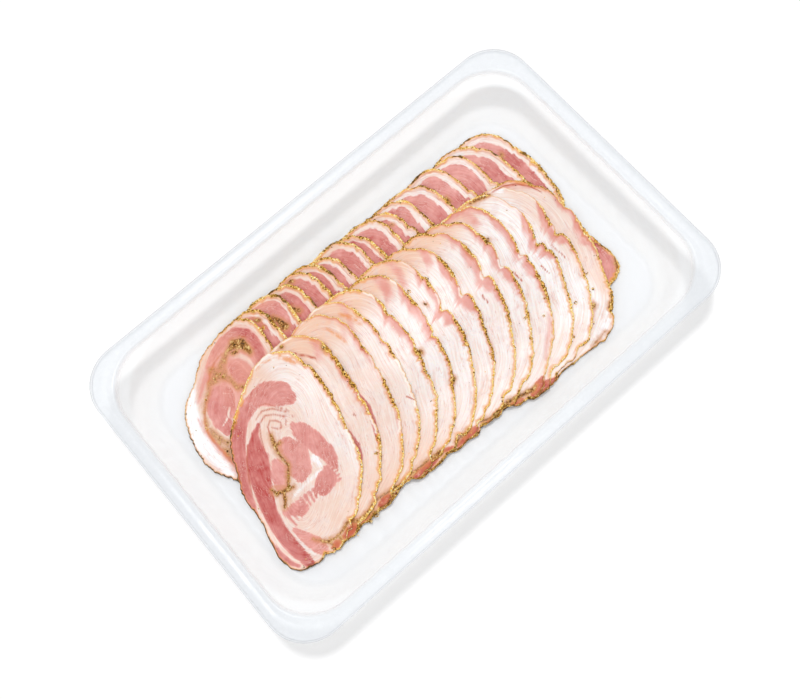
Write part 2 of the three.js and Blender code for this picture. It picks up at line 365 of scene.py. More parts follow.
def profile_rows():
    """The profile's rows at an even spacing, with the bends between them slightly rounded."""
    keys = np.array(profile_keys)
    rows = [keys[0]]
    for first, second in zip(keys, keys[1:]):
        run = max(abs(second[0] - first[0]), abs(second[1] - first[1]), abs(second[5] - first[5]) / 2)
        count = max(2, round(run / ring_spacing))
        rows += [first + (second - first) * k / count for k in range(1, count + 1)]
    rows = np.array(rows)
    smooth = rows.copy()
    smooth[1:-1] = 0.25 * rows[:-2] + 0.5 * rows[1:-1] + 0.25 * rows[2:]
    outer_lip = rows[:, 1] >= half_length - 0.01
    smooth[outer_lip] = rows[outer_lip]
    return smooth


tray_rows = profile_rows()
print("rings from the floor to the lip:", len(tray_rows))

# %% Build the tray


def mesh_object(name, points_mm, faces):
    mesh = bpy.data.meshes.new(name)
    mesh.from_pydata([tuple(c * MM for c in p) for p in points_mm], [], faces)
    mesh.validate()
    made = bpy.data.objects.new(name, mesh)
    scene.collection.objects.link(made)
    mesh.shade_smooth()
    return made


def evaluated_mesh(piece):
    """The piece's mesh with its modifiers applied. The modifiers are then removed."""
    graph = bpy.context.evaluated_depsgraph_get()
    mesh = bpy.data.meshes.new_from_object(piece.evaluated_get(graph))
    piece.modifiers.clear()
    return mesh


tray_rings = [tray_ring(*row) for row in tray_rows]
ring_size = len(tray_rings[0])
tray_points = [p for ring in tray_rings for p in ring] + [(0.0, 0.0, sheet)]
tray_faces = []
for j in range(len(tray_rings) - 1):
    for k in range(ring_size):
        after = (k + 1) % ring_size
        a, b = j * ring_size, (j + 1) * ring_size
        tray_faces.append((a + after, a + k, b + k, b + after))
tray_faces += [(k, (k + 1) % ring_size, len(tray_points) - 1) for k in range(ring_size)]
tray = mesh_object("clear_formed_tray", tray_points, tray_faces)
wall = tray.modifiers.new("wall", "SOLIDIFY")
wall.thickness = sheet * MM
wall.offset = -1
tray.data = evaluated_mesh(tray)
print("tray:", len(tray_rings), "rings,", len(tray.data.polygons), "faces")

# %% [markdown]
# ## Clear plastic
# Formed sheet of this kind is clear with a faint cool haze. The mould draws the walls and the floor thin,
# while the rim keeps the sheet's full thickness and looks whiter. Alpha lets the table show through without
# the noise of real refraction, and it is a little higher where the sheet is seen edge on. Long soft ripples
# in the bump stand for the sheet's uneven draw.

# %% Clear plastic finish
thin_alpha, edge_alpha, floor_alpha, rim_alpha = 0.1, 0.04, 0.03, 0.32

plastic = Finish("clear_plastic")
ripple = plastic.noise(plastic.place, 55.0, 3.0)
smear = plastic.noise(plastic.place, 240.0, 4.0, 0.6)
edge_on = plastic.node("ShaderNodeLayerWeight", None, {"Blend": 0.3}, output=1)
height = plastic.node("ShaderNodeSeparateXYZ", None, {"Vector": plastic.place}, output=2)
full_sheet = height.rise(24.5 * MM, 27.5 * MM)
on_floor = height.rise(3.0 * MM, 1.2 * MM)
drawn_colour = plastic.mixed(ripple.rise(0.3, 0.7), "f4f7fb", "ffffff")
drawn_colour = plastic.mixed(on_floor, drawn_colour, "edf1f7")
clear_plastic = plastic.surface(
    Base_Color=plastic.mixed(full_sheet, drawn_colour, "e9edf2"),
    Roughness=0.24 + 0.12 * smear.rise(0.4, 0.75),
    Specular_IOR_Level=0.3,
    Alpha=thin_alpha + edge_alpha * edge_on + floor_alpha * on_floor + rim_alpha * full_sheet,
    Normal=plastic.bump(ripple, 1.2, 0.35),
)
tray.data.materials.clear()
tray.data.materials.append(clear_plastic)
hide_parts("tray")
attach(tray, "root")
print("clear plastic on", tray.name)

# %% [markdown]
# ## Reading the slices from the frame
# Each slice in the solid model is a plain faceted leaf: an outline of 40 points, some points inside it, and
# a height at each. They are read back as an outline in polar form round the slice's middle, so that a finer
# outline and a finer surface can be worked out from them.

# %% Outlines and heights from the frame
thickness = 1.0
upright, facing_up = 0.001, 0.01
same_place = 0.01


def read_leaf(name):
    """The middle, the outline's angles and radii, and the top surface's points of one slice, in mm."""
    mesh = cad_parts[name].data
    corners = np.empty(len(mesh.vertices) * 3)
    mesh.vertices.foreach_get("co", corners)
    triangles = np.round(corners.reshape(-1, 3, 3) / MM, 3)
    normals = np.cross(triangles[:, 1] - triangles[:, 0], triangles[:, 2] - triangles[:, 0])
    slope = normals[:, 2] / np.linalg.norm(normals, axis=1)
    rim = np.unique(triangles[np.abs(slope) < upright].reshape(-1, 3)[:, :2], axis=0)
    top = np.unique(triangles[slope > facing_up].reshape(-1, 3), axis=0)
    inner = np.array([p for p in top if np.abs(rim - p[:2]).sum(axis=1).min() > same_place])
    middle = inner[np.linalg.norm(inner[:, :2] - rim.mean(axis=0), axis=1).argmin()][:2]
    away = rim - middle
    angles = np.arctan2(away[:, 1], away[:, 0])
    order = angles.argsort()
    return middle, angles[order], np.linalg.norm(away, axis=1)[order], top


leaf_names = sorted(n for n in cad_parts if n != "tray")
leaves = {name: read_leaf(name) for name in leaf_names}
print("slices:", len(leaves), "outline points:", {len(leaf[1]) for leaf in leaves.values()})

# %% [markdown]
# ## An outline that closes on itself
# An outline that is read round a circle has to end where it starts. Noise made of whole waves round the
# circle does that by itself, and it gives the ragged edge and the wandering of the fat and lean. The 40
# known radii are joined in the same way, as a sum of whole waves. The notch at the right of each slice and
# a few nicks are then bitten out.

# %% Noise made of whole waves


def wander(angles, low, high, random, falloff=0.8):
    """Smooth noise round a circle, about -1 to 1, made of low to high whole waves."""
    total = np.zeros_like(angles)
    weight = 0.0
    for waves in range(low, high + 1):
        size = (low / waves) ** falloff
        total += size * np.sin(waves * angles + 2 * np.pi * random.random())
        weight += size * size / 2
    return total / (2 * math.sqrt(weight))


round_trip = wander(np.array([0.0, 2 * np.pi]), 3, 9, np.random.default_rng(1))
print("the noise at its start and end:", round_trip.round(3))

# %% The fine outline
notch_at = {"front": 16, "back": 5, "tucked": 15}
notch_widths = (3.2, 8.0)
notch_already_cut = 0.5
nick_widths = (2.0, 3.5)
nick_depths = {"front": (0.5, 1.5), "back": (0.2, 0.7), "tucked": (0.2, 0.6)}
all_waves, flow_waves = 19, 6


def nicks_of(family, random):
    """Where a slice's edge is nicked, on the side that shows and at its lower end, and how deep."""
    angles = np.r_[random.uniform(2, 62, random.integers(2, 5)), random.uniform(-125, -78, 4)]
    return list(zip(angles, random.uniform(*nick_depths[family], len(angles))))


def without_notch(leaf, family):
    """The known radii with the notched one lifted to its neighbours' mean, and the notch's index."""
    _, known, radii, _ = leaf
    place = np.argmin(np.abs(known - math.radians(notch_at[family])))
    smooth = radii.copy()
    smooth[place] = (radii[place - 1] + radii[(place + 1) % len(radii)]) / 2
    return smooth, place


def whole_waves(leaf, angles, family, most):
    """The outline's radius without its notch, as a sum of whole waves round the circle."""
    smooth, _ = without_notch(leaf, family)
    waves = np.fft.rfft(smooth) / len(smooth)
    total = np.full_like(angles, waves[0].real)
    for k in range(1, most + 1):
        total += 2 * (waves[k] * np.exp(1j * k * (angles - leaf[1][0]))).real
    return total


def radius_at(leaf, angles, family, nicks):
    """The outline's radius between the 40 points, with its notch and its nicks."""
    smooth, place = without_notch(leaf, family)
    fine = whole_waves(leaf, angles, family, all_waves)
    depth = max(0.0, smooth[place] - leaf[2][place] - notch_already_cut)

    def dip(at, widths):
        """A bite out of the rim, steep on its lower side and long on its upper side."""
        away = np.degrees((angles - at + np.pi) % (2 * np.pi) - np.pi)
        return np.exp(-np.abs(away / np.where(away < 0, *widths)) ** 1.4)

    fine -= depth * dip(leaf[1][place], notch_widths)
    for at, nick in nicks:
        fine -= nick * dip(math.radians(at), nick_widths)
    return fine


print("outlines are notched at", notch_at, "degrees")

# %% [markdown]
# ## Lobes along the front row's lower edge
# The lower ends of the front row don't lie in one line: some slices reach up to 3 mm further than others.
# The camera sees one wavy edge, so the lobes are written once along the row, as (x, further reach). Each
# slice takes its share of them where its own rim comes close to that edge.

# %% The front row's lower edge
lower_lobes = [
    (-84, 0), (-81.6, 0.2), (-79.6, 1.2), (-77, 1.5), (-74.8, 0.4), (-72, 1.2), (-69, 1.3), (-67, 0.4),
    (-65.8, -0.8), (-63.6, -0.4), (-61, 0.8), (-57, 0.6), (-56, 0.2), (-53, 1.1), (-50, 0.9), (-47.6, -0.4),
    (-45.4, -1.7), (-38.6, -1.5), (-37, 0), (-35, 1), (-28, 1), (-25, 0.4), (-21, -0.8), (-16, -0.2),
    (-5, 0.3), (-3, -1.2), (0, -0.6), (6, -0.4), (10, 0.3), (13, 1.2), (16, 0.7), (19, 0), (20.2, 0.2),
    (21.6, 1.8), (30, 2.1), (33.6, 1), (36, -1.8), (41.4, -2.6), (43.4, -1.4), (46, -1), (50, -1.6),
    (53, -0.4), (55, 1), (60, 2.3), (66, 2.6), (69.6, 3), (70.8, 1.2), (74, 1.4), (80, 1.6), (84, 0.8),
    (88, 0),
]
# The edge without its lobes, as places that the camera sees
row_edge = [
    (-96, -45), (-80, -47), (0, -50.4), (20, -53.4), (40, -56), (50, -56), (60, -54), (68, -51), (88, -37),
]
sight_share = 0.02
edge_reach, edge_fade = 5.0, 2.5
facing_down = -0.2
foot_edge = -55.8


def front_reach(leaf, angles, radius):
    """The outline's radius with the lobes along the row's lower edge, kept off the tray's sloped foot."""
    x, y = leaf[0][0] + radius * np.cos(angles), leaf[0][1] + radius * np.sin(angles)
    seen_x = x - sight_share * (x - eye_mm[0])
    seen_y = y - sight_share * (y - eye_mm[1])
    above = seen_y - np.interp(seen_x, *zip(*row_edge))
    at_edge = np.clip((edge_reach - above) / edge_fade, 0, 1)
    longer = radius + at_edge * np.interp(seen_x, *zip(*lower_lobes))
    lower = np.minimum(np.sin(angles), facing_down)
    farthest = (foot_edge - leaf[0][1]) / lower
    return np.where(np.sin(angles) < facing_down, np.minimum(longer, farthest), longer)


print("lobes:", len(lower_lobes), "places, up to", max(reach for _, reach in lower_lobes), "mm further out")

# %% [markdown]
# ## Laying the slices
# Slices lie on each other, so they are laid from the lowest up. A square grid of heights says what already
# lies in the tray. Each slice's own surface is a smooth one through its known heights. Where it would cut
# what lies below, it is lifted and smoothed again, as a soft slice bends over an edge.

# %% Height grid
cell = 0.5
grid_half = (108.0, 68.0)
grid_x, grid_y = np.meshgrid(
    np.arange(-grid_half[0], grid_half[0] + cell, cell),
    np.arange(-grid_half[1], grid_half[1] + cell, cell),
)
heap = np.full(grid_x.shape, sheet)


def blurred(values, inside):
    """Each height as the mean of its neighbours inside the outline."""
    total = np.zeros_like(values)
    weight = np.zeros_like(values)
    for dy, dx, share in [(0, 0, 4), (0, 1, 2), (0, -1, 2), (1, 0, 2), (-1, 0, 2),
                          (1, 1, 1), (1, -1, 1), (-1, 1, 1), (-1, -1, 1)]:
        total += share * np.roll(values * inside, (dy, dx), (0, 1))
        weight += share * np.roll(inside, (dy, dx), (0, 1))
    return np.where(weight > 0, total / np.maximum(weight, 1), values)


def sampled(grid, x, y):
    """Heights between the grid's points."""
    column = np.clip((x + grid_half[0]) / cell, 0, grid.shape[1] - 2)
    row = np.clip((y + grid_half[1]) / cell, 0, grid.shape[0] - 2)
    i, j = column.astype(int), row.astype(int)
    u, v = column - i, row - j
    low = grid[j, i] * (1 - u) + grid[j, i + 1] * u
    high = grid[j + 1, i] * (1 - u) + grid[j + 1, i + 1] * u
    return low * (1 - v) + high * v


print("grid:", heap.shape)

# %% A smooth surface through a slice's known heights
plate_give = 2.0


def smooth_surface(points, x, y):
    """A thin plate through known heights, as a bent leaf takes its shape."""
    def bend(distance_squared):
        return 0.5 * distance_squared * np.log(distance_squared + 1e-9)

    size = len(points)
    known = points[:, :2]
    apart = ((known[:, None] - known[None]) ** 2).sum(axis=2)
    matrix = np.zeros((size + 3, size + 3))
    matrix[:size, :size] = bend(apart) + plate_give * np.eye(size)
    matrix[:size, size:] = np.column_stack([np.ones(size), known])
    matrix[size:, :size] = matrix[:size, size:].T
    answer = np.linalg.solve(matrix, np.append(points[:, 2], [0, 0, 0]))
    result = answer[size] + answer[size + 1] * x + answer[size + 2] * y
    for k in range(size):
        result += answer[k] * bend((x - known[k, 0]) ** 2 + (y - known[k, 1]) ** 2)
    return result


level_plate = np.array([[0, 0, 5.0], [9, 0, 5], [0, 9, 5]])
print("a level plate stays level:", smooth_surface(level_plate, 4.0, 4.0).round(3), "mm")

# %% Rest one slice on the heap
drape_rounds = 4
clearance = 0.06
skirt = 3 * cell


def rest_on_heap(leaf, radius_of):
    """Heights of the slice's underside on the grid, also a little past its outline."""
    global heap
    middle, _, _, top = leaf
    x, y = grid_x - middle[0], grid_y - middle[1]
    reach = radius_of(np.arctan2(y, x))
    away = np.hypot(x, y)
    near = away < reach + skirt
    under = np.where(near, 0.0, sheet)
    under[near] = smooth_surface(top, grid_x[near], grid_y[near]) - thickness
    for _ in range(drape_rounds):
        under = np.where(near, np.maximum(under, heap + clearance), under)
        under = np.where(near, blurred(under, near.astype(float)), under)
    under = np.where(near, np.maximum(under, heap + clearance), under)
    heap = np.where(away < reach, under + thickness, heap)
    return under


print("a slice stays", clearance, "mm clear of what lies under it")

# %% [markdown]
# ## Where the fat, the lean and the herbs lie
# A roll of belly shows bands that follow its outline: spiced rim, outer fat, lean, and fat again. On the two
# slices that show whole, the muscles have shapes of their own. They are painted with strokes, each a line
# of points with a half width at every point. The strokes are placed as the camera sees them on a level
# 10 mm above the table, and each point of a slice looks up its own place on that level.

# %% Strokes and soft edges
reading_level = 10.0
far_outside = -6.0


def seen_place(points):
    """Where the line of sight through each point crosses the reading level."""
    share = (reading_level - points[:, 2]) / (eye_mm[2] - points[:, 2])
    return points[:, :2] + share[:, None] * (eye_mm[:2] - points[:, :2])


def soft_step(values, low, high):
    """0 at low and 1 at high, or the other way round where low is above high."""
    share = np.clip((values - low) / (high - low), 0, 1)
    return share * share * (3 - 2 * share)


def depth_in(place, strokes):
    """How deep inside the strokes a place lies, in mm, negative outside.

    A stroke is a list of (x, y, half width).
    """
    depth = np.full(len(place), far_outside)
    for stroke in strokes:
        line = np.array(stroke, float)
        if len(line) == 1:
            line = np.vstack([line, line + [0.001, 0, 0]])
        for a, b in zip(line, line[1:]):
            run = b[:2] - a[:2]
            along = np.clip(((place - a[:2]) @ run) / (run @ run), 0, 1)
            away = np.linalg.norm(place - a[:2] - along[:, None] * run, axis=1)
            depth = np.maximum(depth, a[2] + along * (b[2] - a[2]) - away)
    return depth


def painted(place, strokes, edge=0.45):
    """1 inside the strokes and 0 outside, with a soft edge in mm."""
    return soft_step(depth_in(place, strokes), -edge, edge)


print("a point 20 mm above the middle is seen at", seen_place(np.array([[0.0, 0.0, 20.0]])).round(2))

# %% [markdown]
# ## The two slices that show whole
# The first slice of each row shows its whole face. On the front one a band of lean runs down the left side,
# muscles fill the middle, and a thin seam of herbs winds between them. Lean, fat and herbs each have a list
# of strokes, so that every kind can be given its own colour and its own softness of edge.

# %% The muscles of the front slice that shows whole
front_outer_lean = [
    [(-54.4, 12.6, 3.3), (-56.2, 16.5, 5.5), (-60, 19.8, 5.5), (-64.5, 21.4, 3.8), (-70, 20.6, 3.3),
     (-75.5, 18.2, 3.5), (-80.5, 14, 3.5), (-84.8, 8, 3.2), (-88.4, 2, 2.7), (-91.5, -5, 2.2),
     (-93.9, -12, 1.8), (-95.8, -18.5, 1.0)],
    [(-97.2, -28, 1.1), (-97.6, -34, 1.7), (-96.6, -39, 1.4), (-94.5, -43, 0.8)],
]
front_dark_lean = [
    [(-71, 12, 0.8), (-74.5, 9.8, 1.6), (-78, 5.8, 3.4), (-80.6, 1, 5.0), (-83.8, -5, 4.7), (-86.3, -10, 4.1),
     (-88.5, -15, 3.6), (-90.2, -20, 3.2), (-91.2, -26, 3.1), (-91.5, -32, 3.0), (-91.3, -39, 2.8),
     (-90.4, -45, 2.2)],
]
front_right_lean = [
    [(-60.4, 2.6, 1.4), (-59.4, -1.5, 3.7), (-58.5, -6, 4.3), (-57.6, -11, 3.9), (-57, -15.5, 3.2),
     (-57.4, -19, 2.6), (-58, -22, 1.4)],
]
front_pale_lean = [
    [(-75.4, -5.5, 2.4), (-77, -9.5, 4.3), (-79.4, -13.5, 3.0)],
    [(-67.8, -2.5, 4.0), (-66.8, -8, 5.2), (-69.3, -13, 5.0), (-71.5, -16, 2.4)],
    [(-86.8, -31, 1.0), (-85.6, -35.5, 2.1), (-83.8, -40.5, 3.0), (-83, -44, 2.6)],
]
front_lower_lean = [
    [(-61.6, -20.6, 1.6), (-63.8, -23.8, 4.3), (-67.2, -25, 3.6)],
    [(-82.4, -24.6, 1.2), (-79.6, -26.4, 2.6), (-77, -26.6, 1.0)],
    *[[(-85.4 + 2.1 * k, -22.8 - 0.1 * k, 1.1), (-85 + 1.9 * k, -29.6 + 0.4 * k, 0.4)] for k in range(8)],
    *[[(-61.5 + 0.5 * k, -27 + 1.6 * k, 0.9), (-58.4 + 0.3 * k, -27.5 + 1.8 * k, 0.1)] for k in range(5)],
    [(-84, -24, 1.8), (-81, -23.4, 1.5), (-78, -23, 0.6)],
]
front_herb_seam = [
    [(-69.8, 5.5, 0.5), (-71, 1.5, 0.9), (-72.2, -3, 0.5), (-72.2, -9, 0.5), (-74.5, -11.8, 0.5),
     (-76.8, -14.6, 0.6), (-78, -16.6, 0.9), (-80.5, -16, 0.8), (-83, -15, 0.9), (-83.6, -12.5, 0.4)],
    [(-78, -16.6, 0.8), (-76.2, -17.2, 0.5)],
    [(-80.5, -16, 0.6), (-82, -19, 0.8), (-84, -21.2, 0.6)],
    [(-69, 0.4, 0.4), (-71, 0.6, 0.6)],
]
front_seam_smear = [
    [(-70.6, 4, 0.8), (-70.6, 0.4, 1.8), (-72, -3.4, 0.9)],
    [(-83, -13.4, 1.6), (-80, -17, 2.8), (-83, -20.6, 1.8)],
]
front_seam_lines = [
    [(-75.6, 2.5, 0.2), (-73.4, 7.5, 0.25), (-70.4, 12, 0.2), (-66.6, 13.3, 0.3), (-63.4, 11.2, 0.2),
     (-60.6, 7.6, 0.25), (-57.5, 5, 0.1)],
    [(-70.2, 5, 0.25), (-68.6, 9, 0.25), (-66.4, 10.3, 0.2), (-64.4, 8.6, 0.3), (-63.4, 6.6, 0.2),
     (-65, 4.6, 0.2)],
    [(-79.5, 8.6, 0.15), (-84.5, 2.8, 0.25), (-88.4, -3.6, 0.3), (-91, -9, 0.1)],
    [(-66, 18.2, 0.1), (-63, 17, 0.2), (-60.8, 13, 0.2), (-58, 9.4, 0.1)],
    [(-67.6, 7.6, 0.15), (-66, 5.4, 0.25), (-62.6, 4.4, 0.2), (-61, 6.2, 0.15)],
    [(-70.6, 14.4, 0.1), (-66.4, 15.6, 0.25), (-62.4, 13.6, 0.3), (-59.6, 9.6, 0.2), (-57.6, 7.4, 0.15)],
]
front_bright_fat = [
    [(-63.8, -4.6, 0.9)],
    [(-65.5, -14.5, 0.5), (-62, -13.5, 1.5), (-62.5, -17.5, 1.2)],
    [(-79, -20.2, 0.5), (-70, -19.6, 0.6), (-64, -19.6, 1.0)],
    [(-87.2, -31, 0.35), (-88.2, -38, 0.35), (-86.6, -44, 0.3)],
]
print("front slice strokes:", len(front_outer_lean + front_dark_lean + front_right_lean + front_lower_lean))

# %% The muscles of the back slice that shows whole
back_band_lean = [
    [(-72, 45.6, 0.9), (-66, 48.4, 1.9), (-60, 49.8, 2.5), (-54, 49.2, 2.9), (-50.6, 46, 2.6),
     (-49.8, 42, 2.4), (-50.8, 37.5, 2.5), (-53, 33, 2.6), (-55, 28, 2.6)],
]
back_pale_lean = [
    [(-83.5, 36, 1.0), (-79, 40, 1.9), (-74, 43.4, 2.2), (-69, 46, 1.6)],
    [(-88.4, 30, 0.7), (-89.6, 24, 1.0), (-90, 16, 0.8), (-89.4, 8, 1.0), (-90, 3, 1.2)],
]
back_round_lean = [
    [(-75.8, 31, 5.9), (-78.5, 27.5, 6.0), (-81, 23.5, 4.2), (-82.5, 19, 2.6)],
    [(-63, 38.5, 2.9), (-63.4, 35, 3.4), (-63.6, 30, 3.6)],
]
back_herb_clump = [
    [(-60.4, 45.2, 0.7), (-57.2, 45.6, 2.0), (-54.6, 44.2, 2.2), (-54.2, 41.2, 1.5), (-54.2, 38.6, 0.9)],
    [(-60.4, 43.4, 0.5), (-58.8, 42.6, 0.9)],
]
back_herbs = [
    [(-75.8, 38.8, 0.6), (-72, 39.2, 1.8), (-69.4, 39.6, 2.6), (-66.8, 42, 1.3), (-63.5, 44, 0.7),
     (-60.4, 45, 0.8)],
    [(-71.6, 43, 0.9), (-69.6, 41, 1.2)],
    [(-68.8, 37.4, 1.2), (-67.8, 33.5, 0.4), (-67.8, 30, 0.6), (-65.4, 29, 0.7)],
    [(-76.5, 38, 0.4), (-79.4, 35.8, 0.5), (-82.5, 33.8, 0.3), (-85.2, 30.4, 0.2), (-87.4, 26, 0.4)],
    [(-87.4, 24, 0.4), (-86.9, 19, 1.2), (-86.6, 13, 1.3), (-87.6, 9, 0.8)],
    [(-86.7, 19.4, 0.35), (-86.2, 16.4, 0.4), (-84.6, 14.6, 0.5)],
]
back_seam_lines = [
    [(-81.4, 34, 0.2), (-84.6, 30.8, 0.3), (-86.8, 28, 0.3), (-88.8, 24, 0.5), (-89.2, 18, 0.6),
     (-88.8, 12, 0.7), (-88.4, 5, 1.0)],
    [(-76, 39.4, 0.2), (-72.6, 42.6, 0.3), (-68.4, 45, 0.3), (-64, 46, 0.2)],
]
back_streaks = [
    [(-61.4, 41.6, 0.7), (-58.4, 40.4, 1.5), (-56.8, 36.4, 1.5), (-57.2, 32.6, 1.0)],
    [(-82.6, 21.4, 0.5), (-79, 22.6, 0.9), (-75.4, 25.6, 0.8)],
    [(-85.2, 20.8, 0.4), (-84.6, 17, 0.5)],
    [(-74, 32.6, 0.5), (-72, 30.4, 0.6)],
]
back_white_cap = [
    [(-80, 44, 0.4), (-85.6, 39.4, 1.9), (-90, 34.5, 3.6), (-92, 28, 3.6), (-93, 20.5, 3.2), (-92.6, 12, 2.6),
     (-92, 4, 1.6)],
]
print("back slice strokes:", len(back_band_lean + back_round_lean + back_herbs))

# %% [markdown]
# ## Marks on the slices that show as crescents
# The other slices show a crescent each, and one rule paints a whole row. What breaks that rule is placed by
# strokes: a band of lean, a slit, an orange stain, or a clump of herbs. Along the lower edge the lean and
# cream ends of the slices come out from under the crust.

# %% Lean, slits and specks on the front row
row_lean = [
    [(-45.2, -11.5, 0.3), (-45.4, -16, 1.4), (-46.4, -21, 1.9), (-48.4, -25.6, 1.7), (-51.2, -29.4, 0.5)],
    [(-31.2, -5, 0.3), (-31.8, -12, 1.0), (-34.2, -18, 1.1), (-37, -24, 0.9), (-39.6, -28.6, 0.3)],
]
row_blush = [
    [(-24.4, -20.5, 0.2), (-26.4, -25, 1.1), (-29.6, -29.4, 0.3)],
    [(4.2, -20.5, 0.2), (2, -25.6, 1.1), (-1.4, -30.6, 0.3)],
    [(24.8, -20.5, 0.2), (23.4, -26.4, 1.0), (20.6, -31, 0.3)],
    [(50.6, -32, 0.3), (48, -36, 1.2), (44.4, -39, 1.2), (40, -42.4, 0.8), (36.4, -46, 0.7)],
    [(68.4, -40.6, 0.3), (64, -45, 0.9), (60, -48.4, 0.4)],
    [(72.6, 23, 0.6), (77, 21, 1.3), (81, 18.4, 1.4), (84, 15, 1.0)],
]
row_slits = [
    [(-38.4, -11.6, 0.25), (-38.7, -10.4, 0.25)],
    [(-47.4, -18, 0.3), (-47.6, -17, 0.3)],
    [(35, -12, 0.2), (35.3, -8, 0.35)],
    [(52.2, -15, 0.15), (52.2, -9, 0.3)],
    [(63, -19.6, 0.15), (62.7, -14.6, 0.25)],
    [(72.9, -19, 0.2), (72.6, -11, 0.15)],
    [(-15.8, -22.6, 0.2), (-17.2, -19.6, 0.3)],
    [(-18.2, 8.4, 0.3), (-17.6, 6.6, 0.2)],
    [(-42, 28, 0.2), (-38, 22, 0.3), (-35, 18, 0.15)],
    [(70, 24, 0.25), (76, 22.6, 0.35), (80.6, 19.6, 0.35), (84, 15, 0.3), (86, 9.6, 0.2)],
]
row_specks = [
    [(-29.6, 20, 0.8), (-30.2, 18.6, 0.4)],
    [(1.2, -27, 0.8), (2.4, -26.6, 0.8)],
    [(-1.6, -8.4, 0.7), (-0.4, -9.2, 1.0)],
    [(66.4, -42.8, 0.5), (67.4, -42.2, 0.7)],
    [(54, 9, 0.6)],
    [(-42.8, 31.4, 0.7)],
    [(14.4, 5.6, 0.3), (15.2, 4.6, 0.4)],
    [(59.4, 26.4, 0.3), (62.6, 25.6, 0.6), (65.6, 24.8, 0.9), (68.6, 23.8, 0.4)],
]
pale_lump = [[(64.6, 28.2, 0.8), (68.4, 27.4, 1.6), (71.6, 25.4, 2.0), (73.4, 22, 1.2)]]
print("marks on the front row:", len(row_lean + row_blush + row_slits + row_specks))

# %% Lean, cream and herbs along the lower edge
lower_edge_lean = [
    [(-79.4, -46.6, 1.1), (-77.6, -46.2, 1.8), (-76.4, -46.4, 1.2)],
    [(-73.2, -46.2, 1.3), (-70.4, -45.8, 1.9), (-68, -45.4, 1.5)],
    [(-64.4, -46.2, 0.5), (-60.6, -46.6, 0.5)],
    [(-54, -46.2, 1.2), (-51.8, -46.2, 1.9), (-49.6, -46, 1.3)],
    [(-36.2, -46.6, 1.0), (-33, -47, 1.4), (-27, -47, 1.4), (-24.8, -46.8, 0.9)],
    [(-20.4, -46.8, 0.7), (-17.4, -47.6, 0.5)],
    [(-15, -48.8, 0.8), (-12, -48.6, 1.1), (-4.6, -48.6, 1.1)],
    [(0.6, -49.5, 0.3), (8, -49.6, 0.4)],
    [(13, -50.8, 0.6), (17.4, -52, 1.0)],
    [(22.4, -53.6, 1.2), (27, -53.6, 1.9), (31.6, -54.4, 1.3), (33.8, -54.8, 0.7)],
    [(26, -51, 0.6), (29.8, -50.8, 0.9)],
]
lower_edge_cream = [[(37, -52.6, 1.2), (46, -53, 1.6), (54, -54, 1.6), (62, -54, 2.0), (69, -52.4, 1.6)]]
lower_edge_herbs = [
    [(-83.4, -38.4, 0.05), (-81, -41.8, 0.3), (-79.6, -43.2, 0.7), (-76.4, -44, 0.3), (-72, -43.6, 0.4),
     (-69, -42.6, 0.6)],
    [(-79.2, -43.6, 0.5), (-79, -45.4, 0.3)],
    [(-75, -44.8, 0.4), (-74.9, -47.4, 0.4)],
    [(-67, -43.2, 0.8), (-65.8, -44.2, 0.7), (-65.4, -45.6, 0.4)],
    [(-64.4, -45, 0.6), (-60.4, -45.4, 1.0), (-57.6, -44.8, 0.9), (-56.2, -43.6, 0.6)],
    [(-61.6, -48, 0.5), (-58.8, -47.4, 0.6), (-57, -46.6, 0.4)],
    [(-54, -43.6, 0.4), (-50, -43.8, 0.4), (-46.6, -44.8, 0.6), (-40, -45.2, 0.4)],
    [(-37.4, -45, 0.5), (-33, -45, 0.4), (-27.6, -45.2, 0.4), (-24.2, -46, 0.9), (-22.4, -46, 1.1),
     (-20.6, -46, 0.4)],
    [(-14.6, -47, 0.5), (-7, -47, 0.3)],
    [(-1.4, -47.4, 0.5), (2, -49, 0.4), (6, -49.2, 0.3), (10.4, -49, 0.8), (13, -49, 1.0), (17, -50.2, 0.6),
     (20.4, -51, 0.9), (23.4, -51.8, 1.0), (25.4, -51.4, 0.4)],
    [(54.6, -54.4, 0.1), (57, -54.4, 0.25), (63, -53.6, 0.1)],
    [(71.4, -47.6, 0.7), (73.4, -46.2, 0.8)],
    [(89.4, -31.6, 0.6), (88.6, -34.4, 1.3), (87.2, -36.8, 1.5), (85.2, -38.4, 0.8)],
]
print("marks along the lower edge:", len(lower_edge_lean + lower_edge_cream + lower_edge_herbs))

